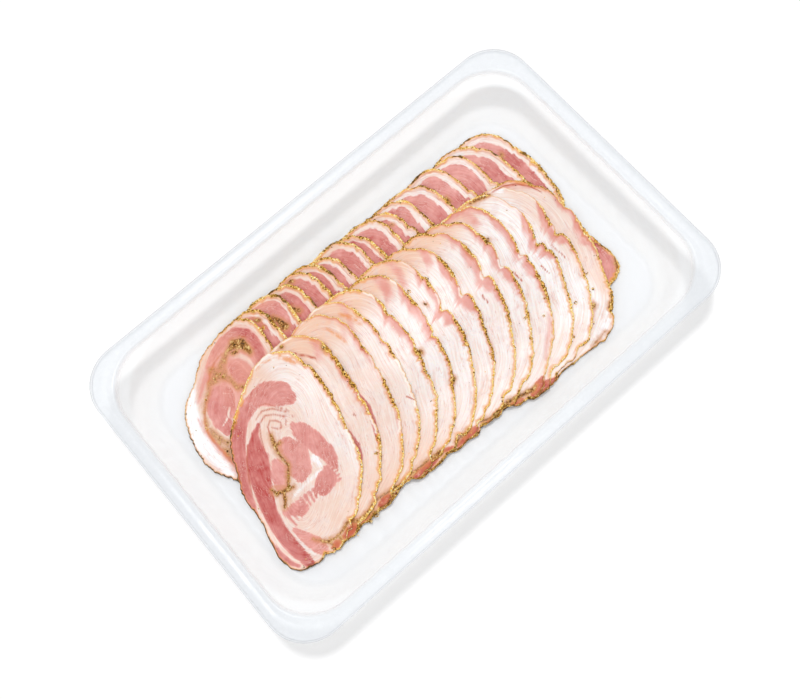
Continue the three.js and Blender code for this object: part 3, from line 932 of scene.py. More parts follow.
# %% Herbs on the back row, and orange stains
back_row_herbs = [
    [(-37.4, 44, 0.6), (-36.4, 41, 1.2), (-36, 37.6, 1.8)],
    [(-43.8, 47.8, 0.6), (-42.6, 46.8, 0.9)],
    [(-43.6, 43.2, 0.6)],
    [(-28.8, 41.5, 0.8), (-28, 39.6, 1.1), (-27, 38.8, 0.8)],
    [(-22.8, 51.4, 0.5), (-21, 51, 0.7)],
    [(-10.5, 52.4, 0.4), (-9.2, 51.6, 0.6)],
    [(27, 42.2, 0.3), (28, 41.8, 0.4)],
    [(53.4, 35.4, 0.5), (53.2, 33.4, 0.6)],
    [(85, 34.6, 0.5), (84.8, 33.2, 0.3)],
]
orange_stains = [
    [(-47.8, 29.4, 0.6), (-45.6, 28.2, 1.0), (-44, 25.4, 1.3), (-43, 22, 0.8)],
    [(-57, 30.6, 0.3), (-53.4, 31.2, 0.6), (-50, 30.4, 0.4)],
    [(-34, 28.8, 0.4), (-31, 25, 0.7), (-30, 22.4, 0.5)],
    [(-23.4, 25, 0.4), (-21.8, 19, 0.8), (-21, 14, 0.4)],
    [(-15.4, 26.4, 0.6), (-12.6, 21.6, 1.1), (-11.2, 17, 0.7)],
    [(-23, -12, 0.3), (-23.6, -17, 0.5)],
    [(-5.2, -16, 0.3), (-6.6, -21, 0.5)],
    [(72.8, 27, 0.4), (79.6, 22.4, 0.6), (84.8, 15.4, 0.6), (88, 8, 0.4)],
]
print("clumps of herbs:", len(back_row_herbs), "stains:", len(orange_stains))

# %% [markdown]
# ## How the rims change from top to bottom
# The crust isn't even. On each front slice it is thick and full of herbs in one stretch, and bare in the
# next, and a strip of pink lean shows inside it. The stretches of each rim are listed from the top down, and
# a soft step joins them. Noise then makes the crust ragged.

# %% Stretches of each front rim
# Each stretch: upper y, lower y, crust in mm, share of herbs, pink strip in mm
rim_stretches = {
    "front_slice_01": [
        (32, 21, 1.2, 0.1, 0), (21, 14, 1.3, 0.8, 2.2), (14, 4, 1.8, 0.9, 3.2), (4, -3, 1.5, 0.9, 2.8),
        (-3, -13, 1.2, 0.5, 1.8), (-22, -30, 1.1, 0.4, 0.8), (-30, -60, 0.9, 0.2, 0),
    ],
    "front_slice_02": [
        (32, 21, 0.6, 0.15, 0), (21, -3, 2.0, 0.95, 2.6), (-3, -15, 1.2, 0.3, 2.0), (-24, -33, 1.3, 0.6, 0),
        (-33, -60, 1.0, 0.25, 0),
    ],
    "front_slice_03": [
        (34, 16, 0.5, 0.1, 2.2), (16, 5, 0.9, 0.8, 2.4), (5, -7, 0.2, 0, 1.8), (-7, -20, 1.4, 0.85, 1.8),
        (-20, -25, 1.0, 0.3, 0), (-30, -60, 1.0, 0.35, 0),
    ],
    "front_slice_04": [
        (34, 24, 0.6, 0.1, 0), (24, 17, 1.4, 0.4, 1.4), (17, 8, 1.1, 0.8, 2.2), (8, 3, 0.7, 0.3, 2.2),
        (3, -4, 1.2, 0.7, 1.2), (-26, -60, 0.9, 0.3, 0),
    ],
    "front_slice_05": [
        (36, 28, 1.3, 0.5, 0), (21, 15, 1.6, 0.4, 3.5), (15, 9, 1.2, 0.8, 3.8), (9, 4, 0.5, 0.1, 3.5),
        (4, 0, 0.8, 0.8, 3.2), (0, -6, 1.0, 0.3, 3.0), (-6, -12, 1.8, 0.9, 2.5), (-12, -20, 1.3, 0.8, 1.8),
        (-20, -26, 0.8, 0.2, 1.0), (-26, -60, 1.0, 0.4, 0),
    ],
    "front_slice_06": [
        (36, 28, 1.4, 0.8, 0), (28, 24, 0.8, 0.3, 3.0), (20, 16, 0.6, 0.1, 4.0), (16, 7, 1.7, 0.7, 4.2),
        (7, -1, 0.3, 0.1, 3.6), (-1, -10, 0.9, 0.15, 4.0), (-10, -16, 1.5, 0.85, 2.0),
        (-16, -25, 1.2, 0.8, 1.8), (-25, -31, 1.4, 0.8, 0.8), (-31, -60, 0.9, 0.35, 0),
    ],
    "front_slice_07": [
        (36, 27, 1.0, 0.7, 0), (27, 19, 0.2, 0, 1.5), (19, 16, 0.9, 0.2, 4.0), (16, 10, 2.0, 0.8, 4.2),
        (10, 7, 0.8, 0.2, 4.0), (7, 1, 0.15, 0, 3.5), (1, -8, 0.8, 0.1, 5.0), (-8, -20, 1.8, 0.85, 2.2),
        (-20, -24, 0.9, 0.9, 0.5), (-24, -60, 0.9, 0.25, 0),
    ],
    "front_slice_08": [
        (36, 24, 1.0, 0.7, 0), (24, 18, 0.5, 0.1, 1.8), (18, 7, 1.9, 0.8, 4.6), (7, 2, 0.7, 0.1, 3.8),
        (2, -3, 0.1, 0, 3.5), (-3, -9, 1.0, 0.2, 4.8), (-9, -19, 1.3, 0.75, 2.8), (-19, -28, 1.2, 0.8, 1.2),
        (-28, -33, 1.3, 0.85, 0.4), (-33, -60, 0.8, 0.2, 0),
    ],
    "front_slice_09": [
        (36, 26, 1.5, 0.9, 0), (26, 20, 0.4, 0.1, 2.0), (20, 16, 0.6, 0.2, 3.0), (16, 7, 1.7, 0.7, 4.6),
        (7, 1, 0.7, 0.1, 4.2), (1, -3, 0, 0, 4.0), (-3, -9, 0.9, 0.25, 5.0), (-9, -20, 1.5, 0.85, 3.2),
        (-20, -25, 1.3, 0.7, 1.0), (-25, -60, 0.8, 0.2, 0),
    ],
    "front_slice_10": [
        (36, 22, 1.1, 0.7, 1.5), (22, 14, 1.2, 0.3, 3.0), (14, 7, 1.9, 0.95, 4.0), (7, 0, 0.7, 0.1, 4.0),
        (0, -5, 0, 0, 3.0), (-5, -11, 1.0, 0.3, 5.0), (-11, -20, 1.5, 0.8, 3.2), (-20, -26, 1.1, 0.5, 1.2),
        (-26, -29, 1.6, 0.7, 0), (-29, -60, 0.85, 0.35, 0),
    ],
    "front_slice_11": [
        (36, 21, 1.0, 0.2, 3.5), (21, 15, 1.6, 0.35, 4.0), (15, 4, 0.8, 0.2, 4.2), (4, -4, 1.2, 0.45, 4.0),
        (-4, -7, 0.1, 0, 3.0), (-7, -16, 1.1, 0.5, 4.2), (-16, -29, 1.9, 0.9, 3.0),
        (-29, -34, 0.9, 0.4, 0.5), (-34, -60, 0.45, 0.15, 0),
    ],
    "front_slice_12": [
        (36, 24, 1.2, 0.25, 0), (24, 8, 0.15, 0.1, 1.6), (8, 3, 0.7, 0.2, 4.6), (3, -4, 1.5, 0.6, 4.2),
        (-4, -6, 0.2, 0, 3.0), (-6, -16, 1.4, 0.8, 4.0), (-16, -24, 1.0, 0.4, 2.0),
        (-24, -32, 1.1, 0.6, 0.5), (-32, -40, 1.3, 0.2, 0), (-40, -60, 0.7, 0.1, 0),
    ],
    "front_slice_13": [
        (36, 26, 1.0, 0.7, 0), (26, 8, 0.15, 0.1, 1.2), (8, 4, 0.9, 0.3, 4.6), (4, -4, 1.7, 0.7, 5.0),
        (-4, -7, 0.2, 0, 3.5), (-7, -14, 1.2, 0.6, 4.5), (-14, -21, 1.5, 0.95, 2.4),
        (-21, -28, 0.8, 0.2, 1.0), (-28, -32, 1.2, 0.7, 0), (-32, -60, 0.85, 0.3, 0),
    ],
    "front_slice_14": [
        (36, 5, 0.9, 0.8, 1.5), (5, -9, 0.7, 0.1, 3.0), (-9, -21, 1.5, 0.4, 5.0),
        (-21, -27, 0.9, 0.35, 3.0), (-27, -36, 0.9, 0.5, 0), (-36, -44, 1.2, 0.6, 0),
        (-44, -60, 1.8, 0.8, 0),
    ],
}
print("rims read from the top down:", len(rim_stretches))

# %% The rim at every angle
crust_scale = 0.68
hidden_crust, hidden_herbs = 0.5, 1.7
end_crust, end_herbs = 1.3, 1.25


def along_rim(stretches, y, column, soft=0.8):
    """One of a rim's properties at each height, with soft changes from stretch to stretch."""
    total = np.zeros_like(y)
    for stretch in stretches:
        upper, lower = stretch[:2]
        past_upper, past_lower = (soft_step(y, end - soft, end + soft) for end in (upper, lower))
        total += stretch[column] * (past_lower - past_upper)
    return total


def read_rim(name, rim_y, turn):
    """The listed stretches of a front rim. The side that other slices hide is plain."""
    shown = soft_step(np.cos(turn), -0.5, -0.2)
    stretches = rim_stretches[name]
    crust = shown * along_rim(stretches, rim_y, 2) + (1 - shown) * hidden_crust
    herbs = shown * along_rim(stretches, rim_y, 3) + (1 - shown) * hidden_herbs
    strip = shown * along_rim(stretches, rim_y, 4, 2.6)
    bare = shown * soft_step(crust, 0.4, 0.1)
    if name != "front_slice_01":
        lower_end = soft_step(rim_y, rim_y.min() + 3.2, rim_y.min() + 1.2)
        crust = crust + (end_crust - crust) * lower_end
        herbs = herbs + (end_herbs - herbs) * lower_end
    return crust, herbs, strip, bare


def rim_of(name, rim_y, turn, random):
    """Crust in mm, share of herbs, pink strip in mm and bareness, for each angle round a slice.

    The back row's crust thins from its first slice to its last, but the last one carries more below its
    top. The first one is dark with herbs on the side that faces away from the row.
    """
    ragged = 1 + 0.35 * wander(turn, 24, 100, random, 0.4)
    crust = 1.15 + 0.35 * wander(turn, 5, 16, random)
    herbs = 0.75 + 0.75 * wander(turn, 9, 26, random)
    strip, bare = np.zeros_like(turn), np.zeros_like(turn)
    if name in rim_stretches:
        crust, herbs, strip, bare = read_rim(name, rim_y, turn)
    if name.startswith("back"):
        crust = crust * (1.4 - 0.025 * int(name[-2:]))
    if name == "back_slice_17":
        crust = crust + 0.8 * soft_step(rim_y, 36, 28)
    if name == "back_slice_01":
        facing = soft_step(np.cos(turn), 0.1, 0.5)
        dark_edge = 1.7 - 0.8 * soft_step(rim_y, 24, 38)
        crust = 0.5 + 0.6 * facing
        herbs = dark_edge + (herbs - dark_edge) * facing
    return {"crust": crust_scale * crust * ragged, "herbs": herbs, "strip": strip, "bare": bare}


down_the_rim = along_rim(rim_stretches["front_slice_05"], np.array([20.0, 0.0, -20.0]), 2)
print("crust of front slice 05 from its top down:", down_the_rim.round(2), "mm")

# %% [markdown]
# ## Painting by kind of slice
# Each kind of slice has a function that says what is painted on its points: lean, rosy fat, peach, white,
# herbs and lines. Lean, rosy fat and herbs are kept as a depth in mm inside their edge, and not as a plain
# share, so that the finish can fray that edge with its own fine noise. All these functions are called alike,
# so some of them leave an input unused.

# %% What is painted on a point
blank_marks = {
    "lean": far_outside, "deep": 0.0, "rosy": far_outside, "peach": 0.0, "white": 0.0, "herb": far_outside,
    "line": 0.0, "orange": 0.0,
}


def marks(depth, **given):
    """What is painted on a slice's points. Lean, rosy and herb are in mm, positive inside."""
    plain = np.zeros_like(depth)
    return {key: np.clip(values + plain, -6, 6) for key, values in {**blank_marks, **given}.items()}


def thinned_crust(rim, place):
    """The crust with the lower lobes of lean and cream left nearly free of it."""
    lobes = depth_in(place, lower_edge_lean + lower_edge_cream)
    return rim["crust"] * (1 - 0.75 * soft_step(lobes, -0.6, 0.4))


print("painted on each point:", ", ".join(blank_marks))

# %% The two slices that show whole


def hero_front(place, depth, angles, rim, random):
    """Muscles from the strokes, each with its own depth of colour, and the herb seam between them."""
    x, y = place.T
    outer = depth_in(place, front_outer_lean + front_right_lean)
    dark = depth_in(place, front_dark_lean)
    pale = depth_in(place, front_pale_lean)
    lower = depth_in(place, front_lower_lean)
    tail = depth_in(place, lower_edge_lean)
    outer_tone = 0.42 + 0.26 * soft_step(-x, 66, 78)
    tones = [(dark, 0.82), (outer, outer_tone), (pale, 0.32), (lower, 0.45), (tail, 0.95)]
    seam = depth_in(place, front_herb_seam + lower_edge_herbs)
    smear = np.minimum(depth_in(place, front_seam_smear) - 0.6, -0.8)
    rim["crust"] = thinned_crust(rim, place)
    return marks(
        depth,
        lean=np.maximum.reduce([outer, dark, pale, lower, tail]),
        deep=np.maximum.reduce([tone * soft_step(inside, -1.0, 1.0) for inside, tone in tones]),
        rosy=0.6 * rim["strip"] - depth,
        peach=soft_step(y, 16, 30) * 0.3 + soft_step(-y, 26, 40) * 0.15,
        white=painted(place, front_bright_fat, 0.7) + 0.6 * soft_step(x, -58, -50),
        herb=np.maximum(seam, smear),
        line=1.4 * painted(place, front_seam_lines, 0.3),
        orange=painted(place, orange_stains, 0.6) + 0.4 * soft_step(tail, -0.5, 0.5),
    )


def hero_back(place, depth, angles, rim, random):
    """A band and two round muscles, with rosy meat round them and a white cap of fat on the left."""
    x, y = place.T
    band = depth_in(place, back_band_lean)
    muscles = depth_in(place, back_round_lean)
    hidden = np.minimum(-y - 8, depth - 7)
    streaks = painted(place, back_streaks, 1.1)
    to_right = soft_step(x, -57, -50)
    pale = depth_in(place, back_pale_lean)
    inner = np.clip(x + 78, -6, np.minimum(depth - 3, 3))
    seasoned = depth_in(place, back_herbs)
    clump = depth_in(place, back_herb_clump)
    return marks(
        depth,
        lean=np.minimum(np.maximum.reduce([band, muscles, hidden]), 1.3) - 1.7 * streaks,
        deep=np.maximum((0.4 + 0.3 * to_right) * soft_step(band, -1, 1), 0.5 * soft_step(muscles, -1, 1)),
        rosy=np.maximum(pale, inner) - 3 * streaks,
        peach=0.5 * soft_step(x, -80, -70) * (1 - 0.6 * to_right),
        white=1.8 * painted(place, back_white_cap, 1.2) + 0.2 * streaks,
        herb=np.maximum(np.minimum(seasoned, -0.1), clump),
        line=painted(place, back_seam_lines, 0.4),
        orange=0.6 * painted(place, back_seam_lines, 0.8),
    )


whole_slices = {"front_slice_01": hero_front, "back_slice_01": hero_back}
print("slices that show whole:", ", ".join(whole_slices))

# %% The slices that show as crescents


def front_bands(place, depth, angles, rim, random):
    """Pale fat with long streaks, a pink strip inside the rim, and peach patches near the top."""
    x, y = place.T
    strip = 1.1 * rim["strip"] * (1 + 0.22 * wander(angles, 5, 30, random, 0.5)) - 0.4
    strip_depth = np.where(rim["strip"] > 0.4, strip - depth, far_outside)
    near_top = 3.6 * wander(angles + 0.015 * depth, 5, 22, random, 0.3) - 1.2
    near_top = np.minimum(np.where(y > 14, near_top, far_outside), (y - 16) / 2) - 3.0 * soft_step(x, 56, 62)
    streaks = 1.2 * wander(angles + 0.03 * depth, 7, 20, random, 0.3) - 1.9
    lower_edge = depth_in(place, lower_edge_lean) + 0.3
    lump = painted(place, pale_lump)
    to_end = 0.35 * soft_step(x, 70, 77)
    whiteness = 0.15 + 0.65 * soft_step(x, -36, 4) + 0.25 * soft_step(x, 50, 60) - 2 * to_end
    warm_top = 0.7 * soft_step(y, 10, 24) * (1 - 0.6 * soft_step(x, 58, 66))
    rosy = np.maximum.reduce([strip_depth, near_top, streaks, depth_in(place, row_blush)])
    rim["crust"] = thinned_crust(rim, place)
    return marks(
        depth,
        lean=np.maximum(depth_in(place, row_lean), lower_edge),
        deep=np.maximum(0.6, 1.05 * soft_step(lower_edge, -1, 1)),
        rosy=rosy - 8 * lump,
        peach=warm_top + 0.6 * soft_step(-y, 28, 44) + 0.3 * soft_step(depth, 3.0, 0.8) + to_end - lump,
        white=whiteness * soft_step(y, 26 + 8 * soft_step(x, 56, 62), 12) + lump,
        herb=depth_in(place, lower_edge_herbs + row_specks),
        line=painted(place, row_slits, 0.2) * 1.6,
        orange=painted(place, orange_stains, 0.6) + 0.4 * soft_step(lower_edge, -0.5, 0.5),
    )


def back_bands(place, depth, angles, rim, random):
    """Outer fat about 3 mm wide with a thin line in it, then deep pink lean with painted shade near the front
    row.
    """
    x, y = place.T
    to_right = soft_step(x, 5, 45)
    start = 3.4 + 0.8 * to_right
    start = start + 0.5 * wander(angles, 4, 18, random, 0.6) + 0.5 * wander(angles, 1, 2, random)
    width = 10.0 + 2.0 * wander(angles, 3, 7, random)
    line_depth = 1.75 + 0.25 * wander(angles, 3, 12, random)
    line_shown = soft_step(wander(angles, 5, 16, random), -0.6, 0.2)
    # Painted shade: the lean is deeper towards its lower end, where the front row's edge shades it, and paler
    # near the top.
    front_row_shade_pale_top = 0.24 * soft_step(-y, -38, -30) - 0.2 * soft_step(y, 42, 52)
    deep = 0.58 - 0.2 * to_right + front_row_shade_pale_top + 0.08 * wander(angles, 4, 9, random)
    warm = (0.35 + 0.5 * soft_step(y, 46, 52)) * (1 - 0.6 * to_right)
    whiteness = 0.1 + 0.25 * to_right + 0.3 * soft_step(wander(angles, 3, 8, random), -0.6, 0.4)
    return marks(
        depth,
        lean=np.minimum(depth - start, start + width - depth),
        deep=deep,
        rosy=depth - start + 0.2 - 0.5 * to_right,
        peach=warm - 0.25 * soft_step(depth, 1.8, 2.6),
        white=whiteness * soft_step(depth, 1.7, 2.5),
        herb=depth_in(place, back_row_herbs),
        line=0.8 * line_shown * np.exp(-(((depth - line_depth) / 0.22) ** 2)),
    )


def tucked_bands(place, depth, angles, rim, random):
    """A thin rim of fat round plain lean."""
    herbs = depth_in(place, lower_edge_herbs)
    return marks(depth, lean=depth - 0.9, deep=0.55 + 0.15 * wander(angles, 3, 9, random), herb=herbs)


def bands_for(name):
    rows = {"front": front_bands, "back": back_bands, "tucked": tucked_bands}
    return whole_slices.get(name, rows[name.split("_")[0]])


print("bands for", sorted({bands_for(n).__name__ for n in leaf_names}))

# %% [markdown]
# ## The surface of one slice
# A slice's top is a fan of rings, close together at the rim, where the crust is, and wider apart towards the
# middle. The rim is ragged and a little thicker than the meat, and its cut edge is rounded. Each point also
# keeps its place along the roll and its distance from the rim, which the finish uses for its streaks.

# %% The outline of one slice
# Points round the slice, rings of its top, and how closely the rings crowd at the rim
plain_mesh = (280, 42, 1.6)
whole_mesh = (440, 62, 1.25)
shown_side_crowding = 0.45
crag_height, crag_waves = 0.3, (22, 110)
lobe_height, lobe_waves = 0.3, (12, 36)
crumb_waves = (30, 125)


def slice_outline(name, leaf, random):
    """The angles round a slice, the ragged radius and the squareness at each, and the underside's heights."""
    family = name.split("_")[0]
    rounds = (whole_mesh if name in whole_slices else plain_mesh)[0]
    even = 2 * np.pi * np.arange(rounds) / rounds
    turn = even if name in whole_slices else even - shown_side_crowding * np.sin(even)
    nicks = nicks_of(family, random)

    def reach_at(angles):
        plain = radius_at(leaf, angles, family, nicks)
        return front_reach(leaf, angles, plain) if family == "front" else plain

    under = rest_on_heap(leaf, reach_at)
    radius = reach_at(turn)
    round_again = np.r_[turn[-1] - 2 * np.pi, turn, turn[0] + 2 * np.pi]
    slope = np.gradient(np.r_[radius[-1], radius, radius[0]], round_again)[1:-1]
    squareness = radius / np.hypot(radius, slope)
    lower_end = soft_step(-np.sin(turn), 0.8, 0.95)
    radius = radius + crag_height * wander(turn, *crag_waves, random, 0.55)
    radius = radius + lobe_height * lower_end * wander(turn, *lobe_waves, random, 0.7)
    return turn, radius, squareness, under


print("the rim's crags have", crag_waves[0], "to", crag_waves[1], "waves round a slice")

# %% Rings of points from the middle over the rim to the underside
underside_rings = 7
rim_swell, swell_reach = 0.22, 0.9
edge_round, top_round_reach, under_round_reach = 0.28, 0.2, 0.25
side_bulge = 0.18


def top_lift(depth, crumbs):
    """The crust's swell on the rim, and its rounded upper edge."""
    swell = rim_swell * crumbs * np.exp(-((depth / swell_reach) ** 2))
    return swell - edge_round * np.exp(-depth / top_round_reach)


def slice_loops(middle, turn, radius, squareness, under, crumbs, rings, crowding):
    """Loops of points and their depths from the rim: the top from the middle out, the side, the underside."""
    def loop(share, lift, level, reach=0.0):
        out = radius * (1 - share) + reach
        x, y = middle[0] + out * np.cos(turn), middle[1] + out * np.sin(turn)
        depth = radius * share * squareness
        return np.column_stack([x, y, sampled(under, x, y) + level + lift(depth)]), depth

    def lifted_top(depth):
        return top_lift(depth, crumbs)

    def lifted_under(depth):
        return 0.5 * edge_round * np.exp(-depth / under_round_reach)

    top_shares = (np.arange(rings) / rings) ** crowding
    under_shares = (np.arange(underside_rings) / underside_rings) ** crowding
    top = [loop(share, lifted_top, thickness) for share in top_shares[::-1]]
    side = loop(0.0, np.zeros_like, 0.5 * thickness, side_bulge)
    return top + [side] + [loop(share, lifted_under, 0.0) for share in under_shares]


def band_quads(j, rounds):
    """The quads between loop j and the next loop."""
    a, b = j * rounds, (j + 1) * rounds
    return [(a + k, b + k, b + (k + 1) % rounds, a + (k + 1) % rounds) for k in range(rounds)]


def slice_faces(rounds, loops, size):
    """Quads between the loops, and a fan of triangles at each end. The last two points are the ends."""
    faces = [quad for j in range(loops - 1) for quad in band_quads(j, rounds)]
    last = (loops - 1) * rounds
    for k in range(rounds):
        after = (k + 1) % rounds
        faces += [(size - 2, k, after), (size - 1, last + after, last + k)]
    return faces


print("faces of a plain slice:", len(slice_faces(plain_mesh[0], plain_mesh[1] + 1 + underside_rings, 0)))

# %% Build and paint a slice
first_seed = 1000
roll_gap = 90.0


def store(piece, name, values):
    """Keeps one number, or three, for each point of a piece."""
    kind, field = ("FLOAT", "value") if values.ndim == 1 else ("FLOAT_VECTOR", "vector")
    layer = piece.data.attributes.new(name, kind, "POINT")
    layer.data.foreach_set(field, values.astype(np.float32).ravel())


def slice_piece(name, leaf, number):
    """Lays one slice on the heap, builds its mesh, and keeps on its points what the finish will read."""
    random = np.random.default_rng(first_seed + number)
    family, middle = name.split("_")[0], leaf[0]
    rounds, rings, crowding = whole_mesh if name in whole_slices else plain_mesh
    turn, radius, squareness, under = slice_outline(name, leaf, random)
    crumbs = 0.5 + 0.5 * wander(turn, *crumb_waves, random, 0.3)
    loops = slice_loops(middle, turn, radius, squareness, under, crumbs, rings, crowding)

    def on_points(values, end=0.0):
        """A value for each angle, given to every loop, and a value for the two ends."""
        return np.append(np.tile(values, len(loops)), [end, end])

    girth = radius.mean()
    top_z = sampled(under, middle[:1], middle[1:])[0] + thickness
    ends = [[*middle, top_z], [*middle, top_z - thickness]]
    points = np.vstack([loop[0] for loop in loops] + [ends])
    depths = np.append(np.concatenate([loop[1] for loop in loops]), [girth, girth])
    piece = mesh_object(
        name.replace("slice", "belly_slice"), points, slice_faces(rounds, len(loops), len(points))
    )

    angles = on_points(turn)
    flow = on_points(whole_waves(leaf, turn, family, flow_waves), girth)
    flow_depth = flow - np.linalg.norm(points[:, :2] - middle, axis=1)
    roll = np.column_stack([girth * np.cos(angles) + roll_gap * number, girth * np.sin(angles), flow_depth])
    rim_y = seen_place(loops[rings - 1][0])[:, 1]
    rim = {key: on_points(values) for key, values in rim_of(name, rim_y, turn, random).items()}
    painting = bands_for(name)(seen_place(points), depths, angles, rim, random)
    shown = {key: rim[key] for key in ("crust", "herbs", "bare")}
    for key, values in {"roll": roll, "rim_depth": depths, **shown, **painting}.items():
        store(piece, key, values)
    return {
        "piece": piece, "name": name, "points": points, "depths": depths, "rounds": rounds, "rings": rings,
        "rim": rim,
    }


laying_order = (
    sorted((n for n in leaf_names if n.startswith("back")), reverse=True)
    + [n for n in leaf_names if n.startswith("tucked")]
    + sorted((n for n in leaf_names if n.startswith("front")), reverse=True)
)
slices = [slice_piece(name, leaves[name], number) for number, name in enumerate(laying_order)]
highest = max(laid["points"][:, 2].max() for laid in slices)
print("slices laid:", len(slices), "highest point:", round(highest, 1), "mm")

# %% [markdown]
# ## Cured pork
# One finish serves every slice, because what differs is painted on the points. It is built up as a painter
# would: first the noises, then fat, then lean, then the stains of the spices, and last the crust. Some of
# the noises are stretched along the roll, which gives the fibres and the thin pink lines in the fat.

# %% Noises of the meat
pork = Finish("cured_pork")
roll_place = pork.attribute("roll", vector=True)
rim_depth = pork.attribute("rim_depth")


def along_roll(around, inwards, detail, roughness):
    """Noise whose scale along the roll's bands differs from its scale across them."""
    return pork.noise(pork.scaled(roll_place, (around, around, inwards)), 1.0, detail, roughness)


fibres = along_roll(0.05, 1.1, 4.0, 0.62)
threads = along_roll(0.035, 0.5, 3.0, 0.6)
strands = along_roll(0.07, 1.7, 4.0, 0.6)
patches = pork.noise(pork.place, 160.0, 3.0, 0.55)
mottle = pork.noise(pork.place, 420.0, 4.0, 0.6)
grain = pork.noise(pork.place, 1300.0, 2.0, 0.6)
fine = pork.noise(pork.place, 1900.0, 4.0, 0.65)
fibre_swing, patch_swing, mottle_swing, fine_swing = (n - 0.5 for n in (fibres, patches, mottle, fine))
fray = 2.0 * fibre_swing + 0.7 * mottle_swing + 0.4 * fine_swing
print("noises of the meat:", len([n for n in pork.tree.nodes if n.type == "TEX_NOISE"]))

# %% [markdown]
# ## Fat
# The fat is cream to peach with white streaks, and rosy where it borders on lean. Each tone is laid over the
# last with a share of its own, and the painted depths are frayed by the fibres, so that no edge is a clean
# line. Thin red threads run through it, as wisps of lean do between the layers of fat.

# %% Fat
rosy_share = (pork.attribute("rosy") + 1.6 * fray).rise(-1.1, 2.0)
peach_share = (pork.attribute("peach") + 0.9 * patch_swing + 0.6 * fibre_swing).clamped()
white = pork.attribute("white")
thread_line = abs(threads - 0.5).rise(0.02, 0.0) * patches.rise(0.4, 0.58)
dull_patch = (patches * 0.6 + mottle * 0.4).rise(0.5, 0.62)
rosy_colour = pork.mixed(patches.rise(0.35, 0.65), "df9286", "ebada3")
fat_colour = pork.mixed(patches.rise(0.35, 0.65), "edcfbf", "f3e0d6")
for share, tone in [
    (peach_share * 0.8, "efbd9a"),
    ((white * (0.4 + 0.6 * fibres.rise(0.3, 0.6))).clamped(), "f9f6f6"),
    (strands.rise(0.5, 0.36) * 0.3, "e4b7a9"),
    (strands.rise(0.53, 0.68) * 0.3, "fdfaf9"),
    (dull_patch * 0.35, "e3cdca"),
    ((white - 1.0).clamped(), "ffffff"),
    (rosy_share * 0.88, rosy_colour),
    (thread_line * 0.5, "d9967f"),
]:
    fat_colour = pork.mixed(share, fat_colour, tone)
print("nodes after the fat:", len(pork.tree.nodes))

# %% [markdown]
# ## Lean
# Lean goes from pale pink to deep red with the painted depth of colour, and fine noise gives it its
# marbling. A few veins of pale fat cross it.

# %% Lean
lean_share = (pork.attribute("lean") + fray).rise(-0.25, 0.3)
marbling = 1.2 * patch_swing + 0.7 * fibre_swing + 0.5 * mottle_swing
deepness = (pork.attribute("deep") + marbling).clamped()
vein = abs(mottle * 0.5 + strands * 0.5 - 0.5).rise(0.02, 0.0) * patches.rise(0.45, 0.6)
lean_colour = pork.mixed(deepness, "efb2a9", "b94541")
lean_colour = pork.mixed(peach_share * (1 - deepness) * 0.7, lean_colour, "e79c74")
lean_colour = pork.mixed(vein * 0.6, lean_colour, "f8dcd0")
meat = pork.mixed(lean_share, fat_colour, lean_colour)
print("nodes after the lean:", len(pork.tree.nodes))

# %% [markdown]
# ## Stains of the spices
# Within about a millimetre of the rim the spices have browned the meat, and a halo of the same brown lies
# round each clump of herbs. Where the crust has come off, the rim is glazed and pale.

# %% Stains and lines on the meat
crust_width = pork.attribute("crust")
herb_share = pork.attribute("herbs")
herb = pork.attribute("herb")
glaze = pork.attribute("bare") * (1.1 - rim_depth + 0.9 * patch_swing).rise(-0.4, 0.5)
stain_reach = crust_width * (1.8 - 0.5 * herb_share) + 0.4
stain = (stain_reach - rim_depth + 1.8 * patch_swing + 0.8 * mottle_swing).rise(-0.5, 0.6)
stain_colour = pork.mixed(rosy_share, "eb9f50", "d47a48")
stain_colour = pork.mixed(lean_share * deepness.rise(0.6, 1.0), stain_colour, "8e3c1a")
halo = (herb + 2.2 * mottle_swing).rise(-1.9, 0.3)
for share, tone in [
    (glaze * 0.8, "fffaf0"),
    (stain * (0.65 + 0.2 * lean_share), stain_colour),
    (halo * 0.7, "cf8a50"),
    (pork.attribute("line") * 0.7, "c4664f"),
    (pork.attribute("orange") * mottle.rise(0.3, 0.6) * 0.75, "e58c38"),
]:
    meat = pork.mixed(share, meat, tone)
print("nodes after the stains:", len(pork.tree.nodes))

# %% [markdown]
# ## Crust and herbs
# The crust ends at its painted width, frayed by noise, and goes from gold to olive and black with the share
# of herbs. The same herbs fill the seam inside the roll, in browner tones because they have steeped there.

# %% Crust, herbs and the finished surface
herb_tones = [(0.35, "5a380a"), (0.43, "9a6616"), (0.5, "cc922c"), (0.57, "ecba56"), (0.66, "fae3a2")]
gold_tones = [(0.35, "da942e"), (0.43, "eeb84e"), (0.5, "f7d276"), (0.57, "fce6a8"), (0.66, "fff6d8")]
filling_tones = [(0.4, "3f2a10"), (0.45, "7c4f1e"), (0.5, "a76d32"), (0.55, "c49258"), (0.62, "e6c888")]
herb_part = (herb_share + 1.6 * mottle_swing).rise(0.3, 0.85)
scorched = (herb_share - 1.0 + 1.2 * mottle_swing).rise(0.0, 0.6)
filling = (herb + 1.8 * mottle_swing + 1.0 * fine_swing).rise(-0.4, 0.5)
crust = (crust_width - rim_depth + 0.8 * fine_swing + 1.3 * mottle_swing).rise(-0.15, 0.2)
spiced = crust.larger(filling)
rub_colour = pork.mixed(herb_part, pork.ramp(grain, gold_tones), pork.ramp(grain, herb_tones))
rub_colour = pork.mixed(scorched * 0.8, rub_colour, "3d240c")
filled_meat = pork.mixed(filling, meat, pork.ramp(0.5 * grain + 0.5 * mottle, filling_tones))
relief = 0.4 * fibres + 0.25 * threads + 0.25 * mottle + 0.8 * spiced * grain
